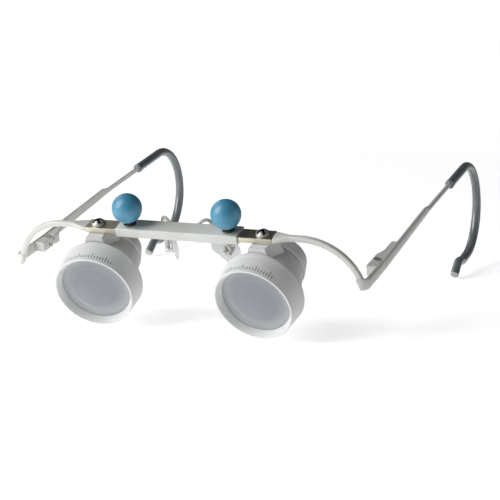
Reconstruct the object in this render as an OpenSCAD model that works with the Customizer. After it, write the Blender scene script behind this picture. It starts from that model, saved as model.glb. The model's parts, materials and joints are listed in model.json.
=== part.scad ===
// Dental loupes on a spectacle frame. A bridge channel guides two sliding plates. Each plate carries a
// telescope, hung from a screw, and a brow arm that ends in the hinge of a temple with an ear hook.
// Sizes are millimetres. +X is to the right as seen from the front, +Y runs back along the temples, +Z is up.
// The loupes stand on a table, on the rims of the telescopes and the ends of the ear hooks. The origin is on
// the table, under the middle of the outer box. Each paired piece is drawn as the right-hand one.

/* [Bridge channel] */
// Length of the channel
channel_length = 47.5; // [46:0.5:57]
// Depth of the channel, front to back
channel_depth = 7.7; // [6.2:0.1:9.2]
// Height of the channel
channel_height = 3.5; // [2.9:0.1:4.2]
// Thickness of the channel's wall
channel_wall = 0.7; // [0.5:0.05:0.85]

/* [Clamp knobs] */
// Distance between the axes of the two knobs
knob_spacing = 38.6; // [36:0.2:39]
// Diameter of the knob's ball
ball_d = 11; // [9:0.5:14]
// Gap between the ball and its collar
ball_gap = 0.35; // [0.2:0.05:2]
// Diameter of the clamp screw
clamp_screw_d = 2.4; // [2:0.1:2.9]
// Diameter of the collar under the ball
collar_d = 4.6; // [4.2:0.1:6]
// Thickness of the collar
collar_t = 0.6; // [0.4:0.1:1.5]
// Diameter of the nut under the channel
clamp_nut_d = 4.2; // [3.9:0.1:5]
// Height of the nut under the channel
clamp_nut_h = 1.3; // [0.8:0.1:2]

/* [Sliders] */
// Distance between the two mount screws, which is the wearer's pupil distance
pupil_distance = 64.4; // [62:0.2:72]
// Travel of each slider, each way
slider_travel = 3; // [1:0.5:3]
// Gap between the inner ends of the two sliders
slider_gap = 12; // [8:0.5:14]
// Bare metal from the mount screw's axis to the painted arm
bare_length = 4.2; // [3:0.1:6]

/* [Mount screws] */
// Diameter of the screw's shank
mount_screw_d = 2.5; // [2:0.1:3]
// Diameter of the pan head
mount_head_d = 5; // [3.8:0.1:5.4]
// Height of the pan head
mount_head_h = 2; // [1.4:0.1:2.4]
// Thickness of the washer between the slider and the lug
swivel_washer_t = 0.2; // [0.1:0.05:0.4]
// Width of the lug's top
lug_width = 6.2; // [5.7:0.1:7.5]
// Length of the lug, front to back
lug_length = 10.2; // [8.5:0.1:12.3]
// Distance from the mount screw forward to the middle of the lug
lug_forward = 1.1; // [0.6:0.1:1.4]
// Height of the lug's sides, down to the telescope
lug_height = 6.4; // [5.8:0.1:7.7]
// Angle by which the lug's sides lean outwards
lug_lean = 19; // [15:0.5:23]

/* [Telescopes] */
// Height of the bridge's middle above the optical axis, at the mount screw
optic_drop = 17.5; // [17.5:0.1:22]
// Distance from the mount screw forward to the front rim, along the optical axis
optic_reach = 15.3; // [12.7:0.1:18.4]
// Angle by which the telescope looks down from the bridge
declination = 5.7; // [3:0.1:9]
// Angle by which each telescope turns inwards
convergence = 4; // [2:0.1:6]
// Diameter of the front rim
front_rim_d = 29.8; // [25:0.1:30]
// Widest diameter of the front ring, near its back
front_ring_d = 31.6; // [30.6:0.1:32]
// Length of the front ring
front_ring_length = 10.1; // [10:0.1:12]
// Wall between the front rim and the lens
front_wall = 1.4; // [1.2:0.05:2]
// Depth of the front lens's edge behind the rim
lens_recess = 3; // [2.4:0.1:3.2]
// Diameter of the body just behind the front ring
body_front_d = 28.2; // [27.6:0.1:29]
// Diameter of the body where the eyepiece starts
body_rear_d = 19.4; // [19:0.1:20.4]
// Distance from the front rim to the eyepiece
eyepiece_start = 22.6; // [21:0.1:26]
// Diameter of the eyepiece ring
eyepiece_d = 20.2; // [20:0.1:23]
// Diameter of the eyepiece's rear end
eyepiece_end_d = 16.8; // [16.4:0.1:18.4]
// Length of the eyepiece ring
eyepiece_length = 7.1; // [6.6:0.1:9]

/* [Brow arms] */
// Overall width across the two end pieces
front_width = 139.6; // [134:0.2:167]
// Height of the arm
arm_height = 2.2; // [1.8:0.1:2.4]
// Depth of the arm, front to back
arm_depth = 2; // [1.6:0.1:2.4]
// Height of the arm's middle above the bridge's middle
arm_lift = 0.6; // [0:0.1:0.8]
// Distance by which the arm's middle lies ahead of the bridge's middle
arm_forward = 0.6; // [0:0.1:0.8]
// Distance from the start of the arm's bend to the arm's end, along the width
arm_bend_reach = 20.25; // [20:0.25:23]
// Radius of the bend
arm_bend_r = 21; // [18:0.1:21.4]
// Angle through which the arm bends down
arm_bend_angle = 70.5; // [60:0.5:71]

/* [End pieces and hinges] */
// Thickness of the end piece and temple strip
strip_t = 1.3; // [1:0.1:1.6]
// Height of the end piece
strip_h = 4.2; // [3.6:0.1:5]
// Outer radius of the end piece's corner
corner_r = 3.5; // [2.8:0.1:4.5]
// Distance from the end piece's front leg back to the hinge axis
hinge_setback = 19.4; // [16.5:0.1:23.2]
// Angle by which the temple drops from the bridge
temple_drop = 10; // [8:0.5:12]
// Distance from the strip's inner face to the hinge axis
hinge_inset = 2.1; // [2:0.05:2.6]
// Radius of the knuckles
knuckle_r = 1.8; // [1.5:0.05:1.9]
// Diameter of the hinge screw
hinge_screw_d = 1.2; // [1:0.05:1.4]
// Height of the hinge's stack of knuckles
hinge_h = 3.8; // [3.2:0.1:4.4]
// Thickness of the middle knuckle, the temple's tongue
tongue_t = 1.1; // [0.9:0.05:1.4]
// Length of the fin that stiffens the temple behind the hinge
fin_length = 13; // [8:0.5:16]
// Width of the fin
fin_width = 2.4; // [1.6:0.1:3]

/* [Temples and ear hooks] */
// Distance from the hinge axis back to the end of the flat strip
strip_length = 53; // [44:0.5:64]
// Height of the strip at its rear end
strip_rear_h = 3.2; // [2.8:0.1:3.6]
// Height that the strip's middle gains from the hinge to its rear end
strip_rise = 1.8; // [0:0.1:2]
// Height of the wire behind the strip
wire_h = 1.8; // [1.5:0.1:2.1]
// Height of the wire's middle above the hinge's middle
wire_z = 1.4; // [0:0.1:2]
// Distance from the hinge axis back to the ear sleeve
sleeve_start = 86.5; // [72:0.5:95]
// Distance from the hinge axis back to the start of the hook's bend
hook_start = 107; // [103:0.5:129]
// Radius of the hook's bend, at the middle of the sleeve
hook_r = 19; // [16:0.5:22]
// Diameter of the ear sleeve
sleeve_d = 3.5; // [2.9:0.1:4.2]
// Diameter of the temple's core inside the sleeve
core_d = 1.1; // [0.8:0.05:1.2]
// Length of the core inside the sleeve
core_length = 16; // [10:0.5:16]
// Straight length of the hook's tail
tail_length = 5.6; // [4:0.1:9]
// Radius of the small bends at the end of the tail
tail_bend_r = 6; // [4:0.5:8]
// Angle of the small bends at the end of the tail
tail_bend_angle = 28; // [15:1:35]
// Straight length at the very end of the tail
tail_end = 5; // [3:0.5:7]

/* [Nose pads] */
// Distance between the two pad arms where they leave the channel
pad_arm_spacing = 9.2; // [8:0.2:11]
// Diameter of the pad arm's wire
pad_wire_d = 1.3; // [1:0.05:1.6]
// Radius of the wire's arch
pad_arch_r = 2.2; // [1.6:0.1:3]
// Length of the wire between the channel and its arch
pad_arm_slant = 3; // [2.5:0.1:3.6]
// Angle by which the wire leaves the channel outwards
pad_arm_heading = 60; // [54:1:66]
// Angle at which the wire rises from the channel
pad_arm_rise = 35; // [29:1:42]
// Distance from the centre plane to the pad's pivot
pad_x = 11.1; // [9.5:0.1:13]
// Distance from the bridge's middle back to the pad's pivot
pad_y = 13.6; // [13:0.1:14.6]
// Depth of the pad's pivot below the bridge's middle
pad_drop = 14.6; // [13:0.1:17]
// Angle by which the pad's face turns towards the back
pad_splay = 25; // [18:1:30]
// Angle by which the pad's top leans forward
pad_lean = 37; // [30:1:42]
// Length of the pad
pad_length = 17; // [14:0.5:18]
// Width of the pad
pad_width = 7.2; // [6:0.2:7.6]
// Thickness of the pad
pad_t = 1.8; // [1.5:0.1:2]
// Diameter of the pad's pin
pad_pin_d = 0.9; // [0.7:0.05:1.1]

/* [Hidden] */
SIDES = ["left", "right"];
PAIRED = [
    "clamp_ball", "clamp_screw", "clamp_collar", "clamp_nut",
    "slider", "brow_arm", "end_piece", "front_leaf", "hinge_screw",
    "mount_screw", "swivel_washer", "mount_lug",
    "front_ring", "front_lens", "front_lock_ring", "barrel_body",
    "eyepiece_ring", "eyepiece_lens", "eyepiece_lock_ring",
    "temple_leaf", "temple_bar", "ear_sleeve",
    "pad_arm", "pad_pin", "pad_insert", "nose_pad"
];

$fn = 64;
// Length by which a cut runs past the face that it opens
past = 1;
// Diameter of the ball at a wire's joint, against the wire's own
joint_swell = 1.03;
// Gap between flat faces that rub
rub = 0.05;
// Clearance on the radius of a pin that turns in its hole
turning = 0.05;
// Clearance on the radius of a screwed or seated joint
seated = 0.02;
// Clearance round the clamp screw in the slider's slot
slot_clearance = 0.3;

// Sizes of the slider follow from the channel that guides it
slider_depth = channel_depth - 2 * channel_wall - 2 * rub;
slider_t = channel_height - 2 * channel_wall - 2 * rub;
slider_inner = slider_gap / 2;
knob_x = knob_spacing / 2;
mount_x = pupil_distance / 2;
slider_outer = mount_x + bare_length;

// Heights of the clamp stack, up from the bridge's middle
collar_z = channel_height / 2 + rub;
ball_z = collar_z + collar_t + ball_gap + ball_d / 2;
nut_z = -channel_height / 2 - clamp_nut_h;
// Length of the clamp screw below its nut
clamp_screw_tail = 0.6;
// Depth of the flat on the underside of the ball
ball_flat = 0.3;
// Depth to which the clamp screw enters the ball
ball_socket = ball_d / 2 + 1;

// Heights of the mount stack, down from the slider
lug_top = -slider_t / 2 - rub - swivel_washer_t;
// Diameter of the swivel washer
swivel_washer_d = 5.6;
// Depth of thread in the lug
mount_thread = 2.2;
// Height of the cylindrical edge below the pan head's dome
head_edge = 0.6;
// Width, reach and depth of the cross recess in the head
recess_w = 0.75;
recess_reach = 2.9;
recess_depth = 0.9;

// Radii along the telescope
front_r = front_rim_d / 2;
lens_r = front_r - front_wall;
// Width of the bright edge at the front of the rim
rim_edge = 0.6;
// Width and thickness of the lip that holds the front lens
lip_w = 0.4;
lip_t = 0.4;
// Length and width of the rounded back edge of the front ring
ring_back_l = 0.8;
ring_back_w = 0.3;
// Thickness of a lens at its edge, and radius of its curved faces
front_lens_edge = 2.2;
front_lens_curve = 70;
eyepiece_lens_edge = 2.6;
eyepiece_lens_curve = 32;
// Length and width of a lock ring
lock_l = 1.2;
lock_w = 1.1;
// Wall of the body
body_wall = 1.6;
// Length of the threads at the two ends of the body
body_thread = 2.4;
neck_thread = 1.7;
// Steps from the body's outside down to its front thread and its rear thread
front_step = 0.4;
neck_step = 0.7;
thread_r = body_front_d / 2 - front_step;
neck_r = body_rear_d / 2 - neck_step;
eyepiece_r = eyepiece_d / 2;
eyepiece_end_r = eyepiece_end_d / 2;
// Length of the eyepiece ring's widest band
eyepiece_band = 1.4;
// Wall round the eyepiece's lens, at the rear end, and depth of the cup behind it
eyepiece_wall = 0.8;
eyepiece_cup = 1.6;
eyepiece_lens_r = eyepiece_end_r - eyepiece_wall;

// Distance by which the arm's end tucks into the end piece's corner
arm_tuck = 0.45;
// The arm's centre line: level, then an arc, then straight down to the end piece
strip_outer_x = front_width / 2;
strip_inner_x = strip_outer_x - strip_t;
arm_end_x = strip_outer_x - corner_r + arm_tuck;
arm_bend_start = arm_end_x - arm_bend_reach;
arm_arc_x = arm_bend_start + arm_bend_r * sin(arm_bend_angle);
arm_arc_z = arm_lift - arm_bend_r * (1 - cos(arm_bend_angle));
arm_end_z = arm_arc_z - (arm_end_x - arm_arc_x) * tan(arm_bend_angle);
// Distance from the arm's end down to the middle of the end piece
end_drop = 1;
// Length of the taper from the flat slider to the arm
arm_taper = 7;
// Number of flats that make up the arm's bend
arm_bend_steps = 20;
// Length of the end piece's front leg, inwards from its corner
front_leg = 1.2;

// The hinge axis crosses the temple's centre line here, measured from the bridge's middle
hinge_x = strip_inner_x - hinge_inset;
hinge_y = -arm_forward - arm_depth / 2 + hinge_setback * cos(temple_drop);
hinge_z = arm_end_z - end_drop - hinge_setback * sin(temple_drop);
// Half the gap between the end piece and the temple
split = 0.15;
// Length of the front leaf's block, and the gap between it and the turning tongue
leaf_length = 4;
leaf_gap = 0.7;
// Length of the temple leaf's block
temple_block = 3.6;
// Diameter and height of the hinge screw's head, and width and depth of its slot
hinge_head_d = 2.6;
hinge_head_h = 0.5;
hinge_slot_w = 0.45;
hinge_slot_depth = 0.3;
// Thickness of the fin, and length of its slanted start
fin_t = 1.3;
fin_slant = 3.2;
// Length over which the strip narrows to the wire
strip_step = 4;

// The ear hook, as steps of [straight length, radius of bend, angle of bend down]
hook_steps = [
    [hook_start - sleeve_start, hook_r, 180],
    [tail_length, tail_bend_r, tail_bend_angle],
    [0, tail_bend_r, -2 * tail_bend_angle],
    [tail_end, 0, 0]
];
// The middle of the hook's end, seen from the hinge axis along the temple
tip_y = hook_start - tail_length - 3 * tail_bend_r * sin(tail_bend_angle) - tail_end * cos(tail_bend_angle);
tip_z = wire_z - 2 * hook_r + tail_bend_r * (1 - cos(tail_bend_angle)) - tail_end * sin(tail_bend_angle);

// A list from its last item to its first
function reversed(list) = [for (i = [len(list) - 1:-1:0]) list[i]];
// A point beside the temple, [back, up] from the hinge axis, as [back, up] from the bridge's middle
function beside_temple(p) = [
    hinge_y + p[0] * cos(temple_drop) + p[1] * sin(temple_drop),
    hinge_z - p[0] * sin(temple_drop) + p[1] * cos(temple_drop)
];
// A point [back, up] from the bridge's middle, once the front is pitched
function pitched(p, pitch) = [p[0] * cos(pitch) - p[1] * sin(pitch), p[0] * sin(pitch) + p[1] * cos(pitch)];

// The front rim stands on the table at its lowest point, and so does the hook's round end
rim_mid = [-optic_reach * cos(declination) * cos(convergence), -optic_drop - optic_reach * sin(declination)];
rim_axis = [-cos(declination) * cos(convergence), -sin(declination)];
tip_mid = beside_temple([tip_y, tip_z]);
function rim_low(pitch) =
    pitched(rim_mid, pitch)[1] - front_r * sqrt(1 - pow(pitched(rim_axis, pitch)[1], 2));
function tip_low(pitch) = pitched(tip_mid, pitch)[1] - joint_swell * sleeve_d / 2;
// The pitch at which both touch the table, by halving the interval
function standing(low, high, rounds) =
    let (middle = (low + high) / 2)
    rounds == 0 ? middle :
    tip_low(middle) < rim_low(middle) ?
    standing(middle, high, rounds - 1) :
    standing(low, middle, rounds - 1);
front_pitch = standing(0, 45, 40);
table_z = rim_low(front_pitch);
rim_ahead = pitched(rim_mid, front_pitch)[0] - front_r * sqrt(1 - pow(pitched(rim_axis, front_pitch)[0], 2));
hook_mid = beside_temple([hook_start, wire_z - hook_r]);
hook_behind = pitched(hook_mid, front_pitch)[0] + hook_r + sleeve_d / 2;
middle_y = (rim_ahead + hook_behind) / 2;

// The pad's pin lies this far outside the pad's outer face
pin_offset = 1.9;
// Length and radius of the arm's eye, and thickness of the insert's ears and the gap beside them
eye_l = 2.2;
eye_r = 1;
ear_t = 0.7;
ear_gap = 0.15;
// Thickness and width of the insert on the pad
insert_t = 0.5;
insert_width = 5;
// The middle of the arm's eye, measured from the bridge's middle
eye_mid = [pad_x + pin_offset * cos(pad_splay), pad_y - pin_offset * sin(pad_splay), -pad_drop];
// The arm's wire leaves the channel's back at a slant, bends over an arch and then runs straight to the eye
pad_arm_root = [pad_arm_spacing / 2, channel_depth / 2, 0];
// Angle below level at which the arch ends
pad_arm_fall = 65;
pad_arch_reach = pad_arm_slant * cos(pad_arm_rise) + pad_arch_r * (sin(pad_arm_rise) + sin(pad_arm_fall));
pad_arch_end = pad_arm_root + [
    pad_arch_reach * sin(pad_arm_heading),
    pad_arch_reach * cos(pad_arm_heading),
    pad_arm_slant * sin(pad_arm_rise) + pad_arch_r * (cos(pad_arm_fall) - cos(pad_arm_rise))
];
pad_arm_run = eye_mid - pad_arch_end;
pad_run_heading = atan2(pad_arm_run[1], pad_arm_run[0]);
pad_run_fall = asin(-pad_arm_run[2] / norm(pad_arm_run));

// Places a piece of the bridge, whose own zero is the middle of the channel
module on_front() {
    translate([0, -middle_y, -table_z])
        rotate([front_pitch, 0, 0])
            children();
}

// Places a piece of the temple, whose own zero is where the hinge axis crosses it
module on_hinge() {
    on_front()
        translate([hinge_x, hinge_y, hinge_z])
            rotate([-temple_drop, 0, 0])
                children();
}

// Places a turned piece of the telescope, whose own Z runs back along the optical axis from the front rim
module on_optic() {
    on_front()
        translate([mount_x, 0, -optic_drop])
            rotate([0, 0, -convergence])
                rotate([declination - 90, 0, 0])
                    translate([0, 0, -optic_reach])
                        children();
}

// Places a piece of the nose pad: X points away from the nose, Z up along the pad, zero at its pin
module on_pad() {
    on_front()
        translate([pad_x, pad_y, -pad_drop])
            rotate([0, 0, -pad_splay])
                rotate([pad_lean, 0, 0])
                    children();
}

// Draws the right-hand piece, or its mirror image on the left
module on_side(side) {
    mirror([side == "left" ? 1 : 0, 0, 0])
        children();
}

// A box centred on zero
module block(size) {
    translate(-size / 2)
        cube(size);
}

// A flat shape with round ends, lengthways along Y
module round_ended(length, width) {
    square([width, length - width], center = true);
    for (end = [-1, 1])
        translate([0, end * (length - width) / 2])
            circle(d = width);
}

// A round rod that starts along Y and follows steps of [straight length, radius of bend, angle of bend down]
module bent_rod(steps, d, step = 0) {
    if (step > 0)
        sphere(d = joint_swell * d);
    if (step < len(steps)) {
        run = steps[step][0];
        bend_r = steps[step][1];
        bend = steps[step][2];
        turn = bend < 0 ? -1 : 1;
        if (run > 0)
            rotate([-90, 0, 0])
                cylinder(d = d, h = run);
        translate([0, run, 0]) {
            if (run > 0 && bend_r > 0)
                sphere(d = joint_swell * d);
            if (bend_r > 0)
                mirror([0, 0, turn < 0 ? 1 : 0])
                    translate([0, 0, -bend_r])
                        rotate([0, -90, 0])
                            rotate_extrude(angle = abs(bend))
                                translate([bend_r, 0])
                                    circle(d = d);
            translate([0, bend_r * sin(abs(bend)), -turn * bend_r * (1 - cos(bend))])
                rotate([-bend, 0, 0])
                    bent_rod(steps, d, step + 1);
        }
    }
}

// The painted channel: a flat tube, open at both ends, drilled for the two clamp screws
module bridge_channel() {
    color("#dcdfd8")
        on_front()
            difference() {
                block([channel_length, channel_depth, channel_height]);
                block([
                    channel_length + 2 * past,
                    channel_depth - 2 * channel_wall,
                    channel_height - 2 * channel_wall
                ]);
                for (side = SIDES)
                    on_side(side)
                        translate([knob_x, 0, -channel_height / 2 - past])
                            cylinder(d = clamp_screw_d + 2 * turning, h = channel_height + 2 * past);
            }
}

// The ball that the fingers turn, with a flat underneath and a socket for the screw
module clamp_ball() {
    color("#4a8fb4")
        on_front()
            translate([knob_x, 0, ball_z])
                difference() {
                    sphere(d = ball_d);
                    translate([0, 0, -ball_d / 2 - past])
                        cylinder(d = ball_d, h = ball_flat + past);
                    translate([0, 0, -ball_d / 2 - past])
                        cylinder(d = clamp_screw_d, h = ball_socket + past);
                }
}

// The screw that runs from the ball through the channel and the slider's slot to the nut
module clamp_screw() {
    screw_z = nut_z - clamp_screw_tail;
    color("#8c8574")
        on_front()
            translate([knob_x, 0, screw_z])
                cylinder(d = clamp_screw_d, h = ball_z - ball_d / 2 + ball_socket - screw_z);
}

// The dark collar that the ball presses on the channel
module clamp_collar() {
    color("#3c3a36")
        on_front()
            translate([knob_x, 0, collar_z])
                difference() {
                    cylinder(d = collar_d, h = collar_t);
                    translate([0, 0, -past])
                        cylinder(d = clamp_screw_d, h = collar_t + 2 * past);
                }
}

// The nut fixed under the channel
module clamp_nut() {
    color("#7d6a4c")
        on_front()
            translate([knob_x, 0, nut_z])
                difference() {
                    cylinder(d = clamp_nut_d, h = clamp_nut_h);
                    translate([0, 0, -past])
                        cylinder(d = clamp_screw_d + 2 * turning, h = clamp_nut_h + 2 * past);
                }
}

// The bare plate that slides in the channel, with a slot for the clamp screw and a hole for the mount screw
module slider() {
    slot_w = clamp_screw_d + 2 * slot_clearance;
    color("#b9ae94")
        on_front()
            translate([0, 0, -slider_t / 2])
                linear_extrude(slider_t)
                    difference() {
                        translate([slider_inner, -slider_depth / 2])
                            square([slider_outer - slider_inner, slider_depth]);
                        translate([knob_x, 0])
                            rotate(90)
                                round_ended(2 * slider_travel + slot_w, slot_w);
                        translate([mount_x, 0])
                            circle(d = mount_screw_d + 2 * turning);
                    }
}

// One edge of the arm seen from the front, at a distance above its centre line: level, bent, then straight
function arm_edge(above) = concat(
    [[slider_outer, arm_lift + above]],
    [for (step = [0:arm_bend_steps]) let (turn = step * arm_bend_angle / arm_bend_steps) [
        arm_bend_start + (arm_bend_r + above) * sin(turn),
        arm_lift - arm_bend_r + (arm_bend_r + above) * cos(turn)
    ]],
    [[arm_end_x + above * sin(arm_bend_angle), arm_end_z + above * cos(arm_bend_angle)]]
);

// The painted arm: a flat root that tapers to the arm, which ends behind the end piece's front leg
module brow_arm() {
    color("#d5d7d0")
        difference() {
            on_front() {
                translate([0, 0, -slider_t / 2])
                    linear_extrude(slider_t)
                        polygon([
                            [slider_outer, -slider_depth / 2],
                            [slider_outer + arm_taper, -arm_forward - arm_depth / 2],
                            [slider_outer + arm_taper, -arm_forward + arm_depth / 2],
                            [slider_outer, slider_depth / 2]
                        ]);
                translate([0, -arm_forward + arm_depth / 2, 0])
                    rotate([90, 0, 0])
                        linear_extrude(arm_depth)
                            polygon(concat(arm_edge(arm_height / 2), reversed(arm_edge(-arm_height / 2))));
            }
            on_hinge()
                end_piece_cut();
        }
}

// The end piece seen from above: a front leg, a round corner and a side leg that ends at the hinge
module end_piece_plan() {
    leg_front = -hinge_setback - strip_t;
    corner_x = strip_outer_x - hinge_x - corner_r;
    corner_y = leg_front + corner_r;
    translate([corner_x - front_leg, leg_front])
        square([front_leg, strip_t]);
    translate([corner_x, corner_y])
        intersection() {
            difference() {
                circle(r = corner_r);
                circle(r = corner_r - strip_t);
            }
            translate([0, -corner_r])
                square(corner_r);
        }
    translate([hinge_inset, corner_y])
        square([strip_t, -split - corner_y]);
}

// The bent strip that joins the arm to the hinge
module end_piece() {
    color("#d2d4cc")
        on_hinge()
            translate([0, 0, -strip_h / 2])
                linear_extrude(strip_h)
                    end_piece_plan();
}

// What the arm may not enter: the space of the end piece's front leg and corner, and all that lies beyond
module end_piece_cut() {
    corner_x = strip_outer_x - hinge_x - corner_r;
    corner_y = -hinge_setback - strip_t + corner_r;
    inner_r = corner_r - strip_t;
    reach = 3 * corner_r;
    translate([0, 0, -reach])
        linear_extrude(2 * reach)
            difference() {
                translate([corner_x - 2 * front_leg, corner_y - corner_r - reach])
                    square([2 * front_leg + reach, reach + corner_r]);
                translate([corner_x, corner_y])
                    circle(r = inner_r);
                translate([corner_x - 2 * front_leg - past, corner_y - inner_r])
                    square([2 * front_leg + past, inner_r + past]);
            }
}

// One knuckle seen from above: a round eye that reaches forward to its block
module knuckle_plan(reach) {
    circle(r = knuckle_r);
    translate([-knuckle_r, -reach])
        square([2 * knuckle_r, reach]);
}

// The front leaf: a block on the end piece with two knuckles, one above and one below the temple's tongue
module front_leaf() {
    block_front = -knuckle_r - leaf_gap - leaf_length;
    tongue_space = tongue_t + 2 * rub;
    color("#c9cbc4")
        on_hinge()
            difference() {
                translate([0, 0, -hinge_h / 2])
                    linear_extrude(hinge_h) {
                        knuckle_plan(knuckle_r + leaf_gap);
                        translate([-knuckle_r, block_front])
                            square([hinge_inset + knuckle_r, leaf_length]);
                    }
                block([4 * knuckle_r, 2 * (knuckle_r + leaf_gap), tongue_space]);
                cylinder(d = hinge_screw_d, h = hinge_h + 2 * past, center = true);
            }
}

// The screw that pins the hinge, with a slotted head
module hinge_screw() {
    color("#a5a399")
        on_hinge()
            difference() {
                union() {
                    translate([0, 0, -hinge_h / 2])
                        cylinder(d = hinge_screw_d, h = hinge_h);
                    translate([0, 0, hinge_h / 2])
                        cylinder(d = hinge_head_d, h = hinge_head_h);
                }
                translate([0, 0, hinge_h / 2 + hinge_head_h])
                    block([hinge_head_d + 2 * past, hinge_slot_w, 2 * hinge_slot_depth]);
            }
}

// The temple's leaf: a tongue that turns on the screw, a block on the strip, and a fin behind it
module temple_leaf() {
    block_y = knuckle_r + leaf_gap;
    fin_y = block_y + temple_block;
    color("#c9cbc4")
        on_hinge() {
            translate([0, 0, -tongue_t / 2])
                linear_extrude(tongue_t)
                    difference() {
                        union() {
                            circle(r = knuckle_r);
                            translate([-knuckle_r, 0])
                                square([2 * knuckle_r, block_y]);
                        }
                        circle(d = hinge_screw_d + 2 * turning);
                    }
            translate([-knuckle_r, block_y, -hinge_h / 2])
                cube([hinge_inset + knuckle_r, temple_block, hinge_h]);
            translate([0, 0, hinge_h / 2 - fin_t])
                linear_extrude(fin_t)
                    polygon([
                        [-knuckle_r, fin_y],
                        [hinge_inset - fin_width, fin_y + fin_slant],
                        [hinge_inset - fin_width, fin_y + fin_length],
                        [hinge_inset, fin_y + fin_length],
                        [hinge_inset, fin_y]
                    ]);
        }
}

// The temple: a flat strip whose upper edge steps down to a wire, and a core that enters the sleeve
module temple_bar() {
    strip_end = strip_length + strip_step;
    color("#cfd1ca")
        on_hinge() {
            translate([hinge_inset, 0, 0])
                rotate([90, 0, 90])
                    linear_extrude(strip_t)
                        polygon([
                            [split, -strip_h / 2],
                            [strip_length, strip_rise - strip_rear_h / 2],
                            [strip_end, wire_z - wire_h / 2],
                            [sleeve_start, wire_z - wire_h / 2],
                            [sleeve_start, wire_z + wire_h / 2],
                            [strip_end, wire_z + wire_h / 2],
                            [strip_length, strip_rise + strip_rear_h / 2],
                            [split, strip_h / 2]
                        ]);
            translate([hinge_inset + strip_t / 2, sleeve_start - past, wire_z])
                rotate([-90, 0, 0])
                    cylinder(d = core_d, h = past + core_length);
        }
}

// The soft sleeve that forms the hook, with a round end and a blind hole for the temple's core
module ear_sleeve() {
    color("#4f5556")
        on_hinge()
            translate([hinge_inset + strip_t / 2, sleeve_start, wire_z])
                difference() {
                    bent_rod(hook_steps, sleeve_d);
                    translate([0, -past, 0])
                        rotate([-90, 0, 0])
                            cylinder(d = core_d + 2 * seated, h = past + core_length + seated);
                }
}

// The cross-headed screw that hangs the telescope from the slider
module mount_screw() {
    head_z = slider_t / 2 + rub;
    dome_r = (pow(mount_head_d / 2, 2) + pow(mount_head_h - head_edge, 2)) / (2 * (mount_head_h - head_edge));
    color("#c4c2bc")
        on_front()
            translate([mount_x, 0, 0])
                difference() {
                    union() {
                        translate([0, 0, lug_top - mount_thread])
                            cylinder(d = mount_screw_d, h = head_z - lug_top + mount_thread);
                        intersection() {
                            translate([0, 0, head_z])
                                cylinder(d = mount_head_d, h = mount_head_h);
                            translate([0, 0, head_z + mount_head_h - dome_r])
                                sphere(r = dome_r);
                        }
                    }
                    translate([0, 0, head_z + mount_head_h])
                        for (turn = [45, 135])
                            rotate(turn)
                                block([recess_reach, recess_w, 2 * recess_depth]);
                }
}

// The thin washer between the slider and the lug
module swivel_washer() {
    color("#8d8b84")
        on_front()
            translate([mount_x, 0, lug_top])
                difference() {
                    cylinder(d = swivel_washer_d, h = swivel_washer_t);
                    translate([0, 0, -past])
                        cylinder(d = mount_screw_d, h = swivel_washer_t + 2 * past);
                }
}

// The lug on top of the telescope: a block with leaning sides, tapped for the mount screw
module mount_lug() {
    top_half = lug_width / 2;
    foot_half = top_half + lug_height * tan(lug_lean);
    color("#d9dad6")
        difference() {
            on_front()
                translate([mount_x, 0, lug_top])
                    difference() {
                        rotate(-convergence)
                            translate([0, lug_length / 2 - lug_forward, 0])
                                rotate([90, 0, 0])
                                    linear_extrude(lug_length)
                                        polygon([
                                            [-top_half, 0],
                                            [-foot_half, -lug_height],
                                            [foot_half, -lug_height],
                                            [top_half, 0]
                                        ]);
                        translate([0, 0, -mount_thread])
                            cylinder(d = mount_screw_d, h = mount_thread + past);
                    }
            on_optic()
                rotate_extrude()
                    telescope_outline();
        }
}

// The telescope's outer shape as [radius, distance behind the rim], grown by the seat's clearance
module telescope_outline() {
    polygon([
        [0, 0],
        [front_r + seated, 0],
        [front_ring_d / 2 + seated, front_ring_length - ring_back_l],
        [front_ring_d / 2 - ring_back_w + seated, front_ring_length + seated],
        [body_front_d / 2 + seated, front_ring_length + seated],
        [body_rear_d / 2 + seated, eyepiece_start - seated],
        [eyepiece_r + seated, eyepiece_start - seated],
        [eyepiece_r + seated, eyepiece_start + eyepiece_length],
        [0, eyepiece_start + eyepiece_length]
    ]);
}

// The front ring: a slightly flared band with a sloped mouth, a lip for the lens and a thread for the body
module front_ring() {
    lens_bore = lens_r + seated;
    thread_start = front_ring_length - body_thread;
    color("#dedcd8")
        on_optic()
            rotate_extrude()
                polygon([
                    [front_r - rim_edge, 0],
                    [front_r, 0],
                    [front_ring_d / 2, front_ring_length - ring_back_l],
                    [front_ring_d / 2 - ring_back_w, front_ring_length],
                    [thread_r + seated, front_ring_length],
                    [thread_r + seated, thread_start],
                    [lens_bore, thread_start],
                    [lens_bore, lens_recess],
                    [lens_r - lip_w, lens_recess],
                    [lens_r - lip_w, lens_recess - lip_t]
                ]);
}

// A round face as fine as a lens needs
module lens_face(radius) {
    circle(r = radius, $fn = 720);
}

// The front lens: convex in front, flat behind
module front_lens() {
    reach = lens_r - lip_w - seated;
    bulge = front_lens_curve - sqrt(pow(front_lens_curve, 2) - pow(reach, 2));
    color("#9aa0a5")
        on_optic()
            rotate_extrude() {
                translate([0, lens_recess])
                    square([lens_r, front_lens_edge]);
                intersection() {
                    translate([0, lens_recess - bulge])
                        square([reach, bulge + front_lens_edge / 2]);
                    translate([0, lens_recess - bulge + front_lens_curve])
                        lens_face(front_lens_curve);
                }
            }
}

// The ring screwed in behind the front lens
module front_lock_ring() {
    color("#2f3133")
        on_optic()
            translate([0, 0, lens_recess + front_lens_edge])
                linear_extrude(lock_l)
                    difference() {
                        circle(r = lens_r);
                        circle(r = lens_r - lock_w);
                    }
}

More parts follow.
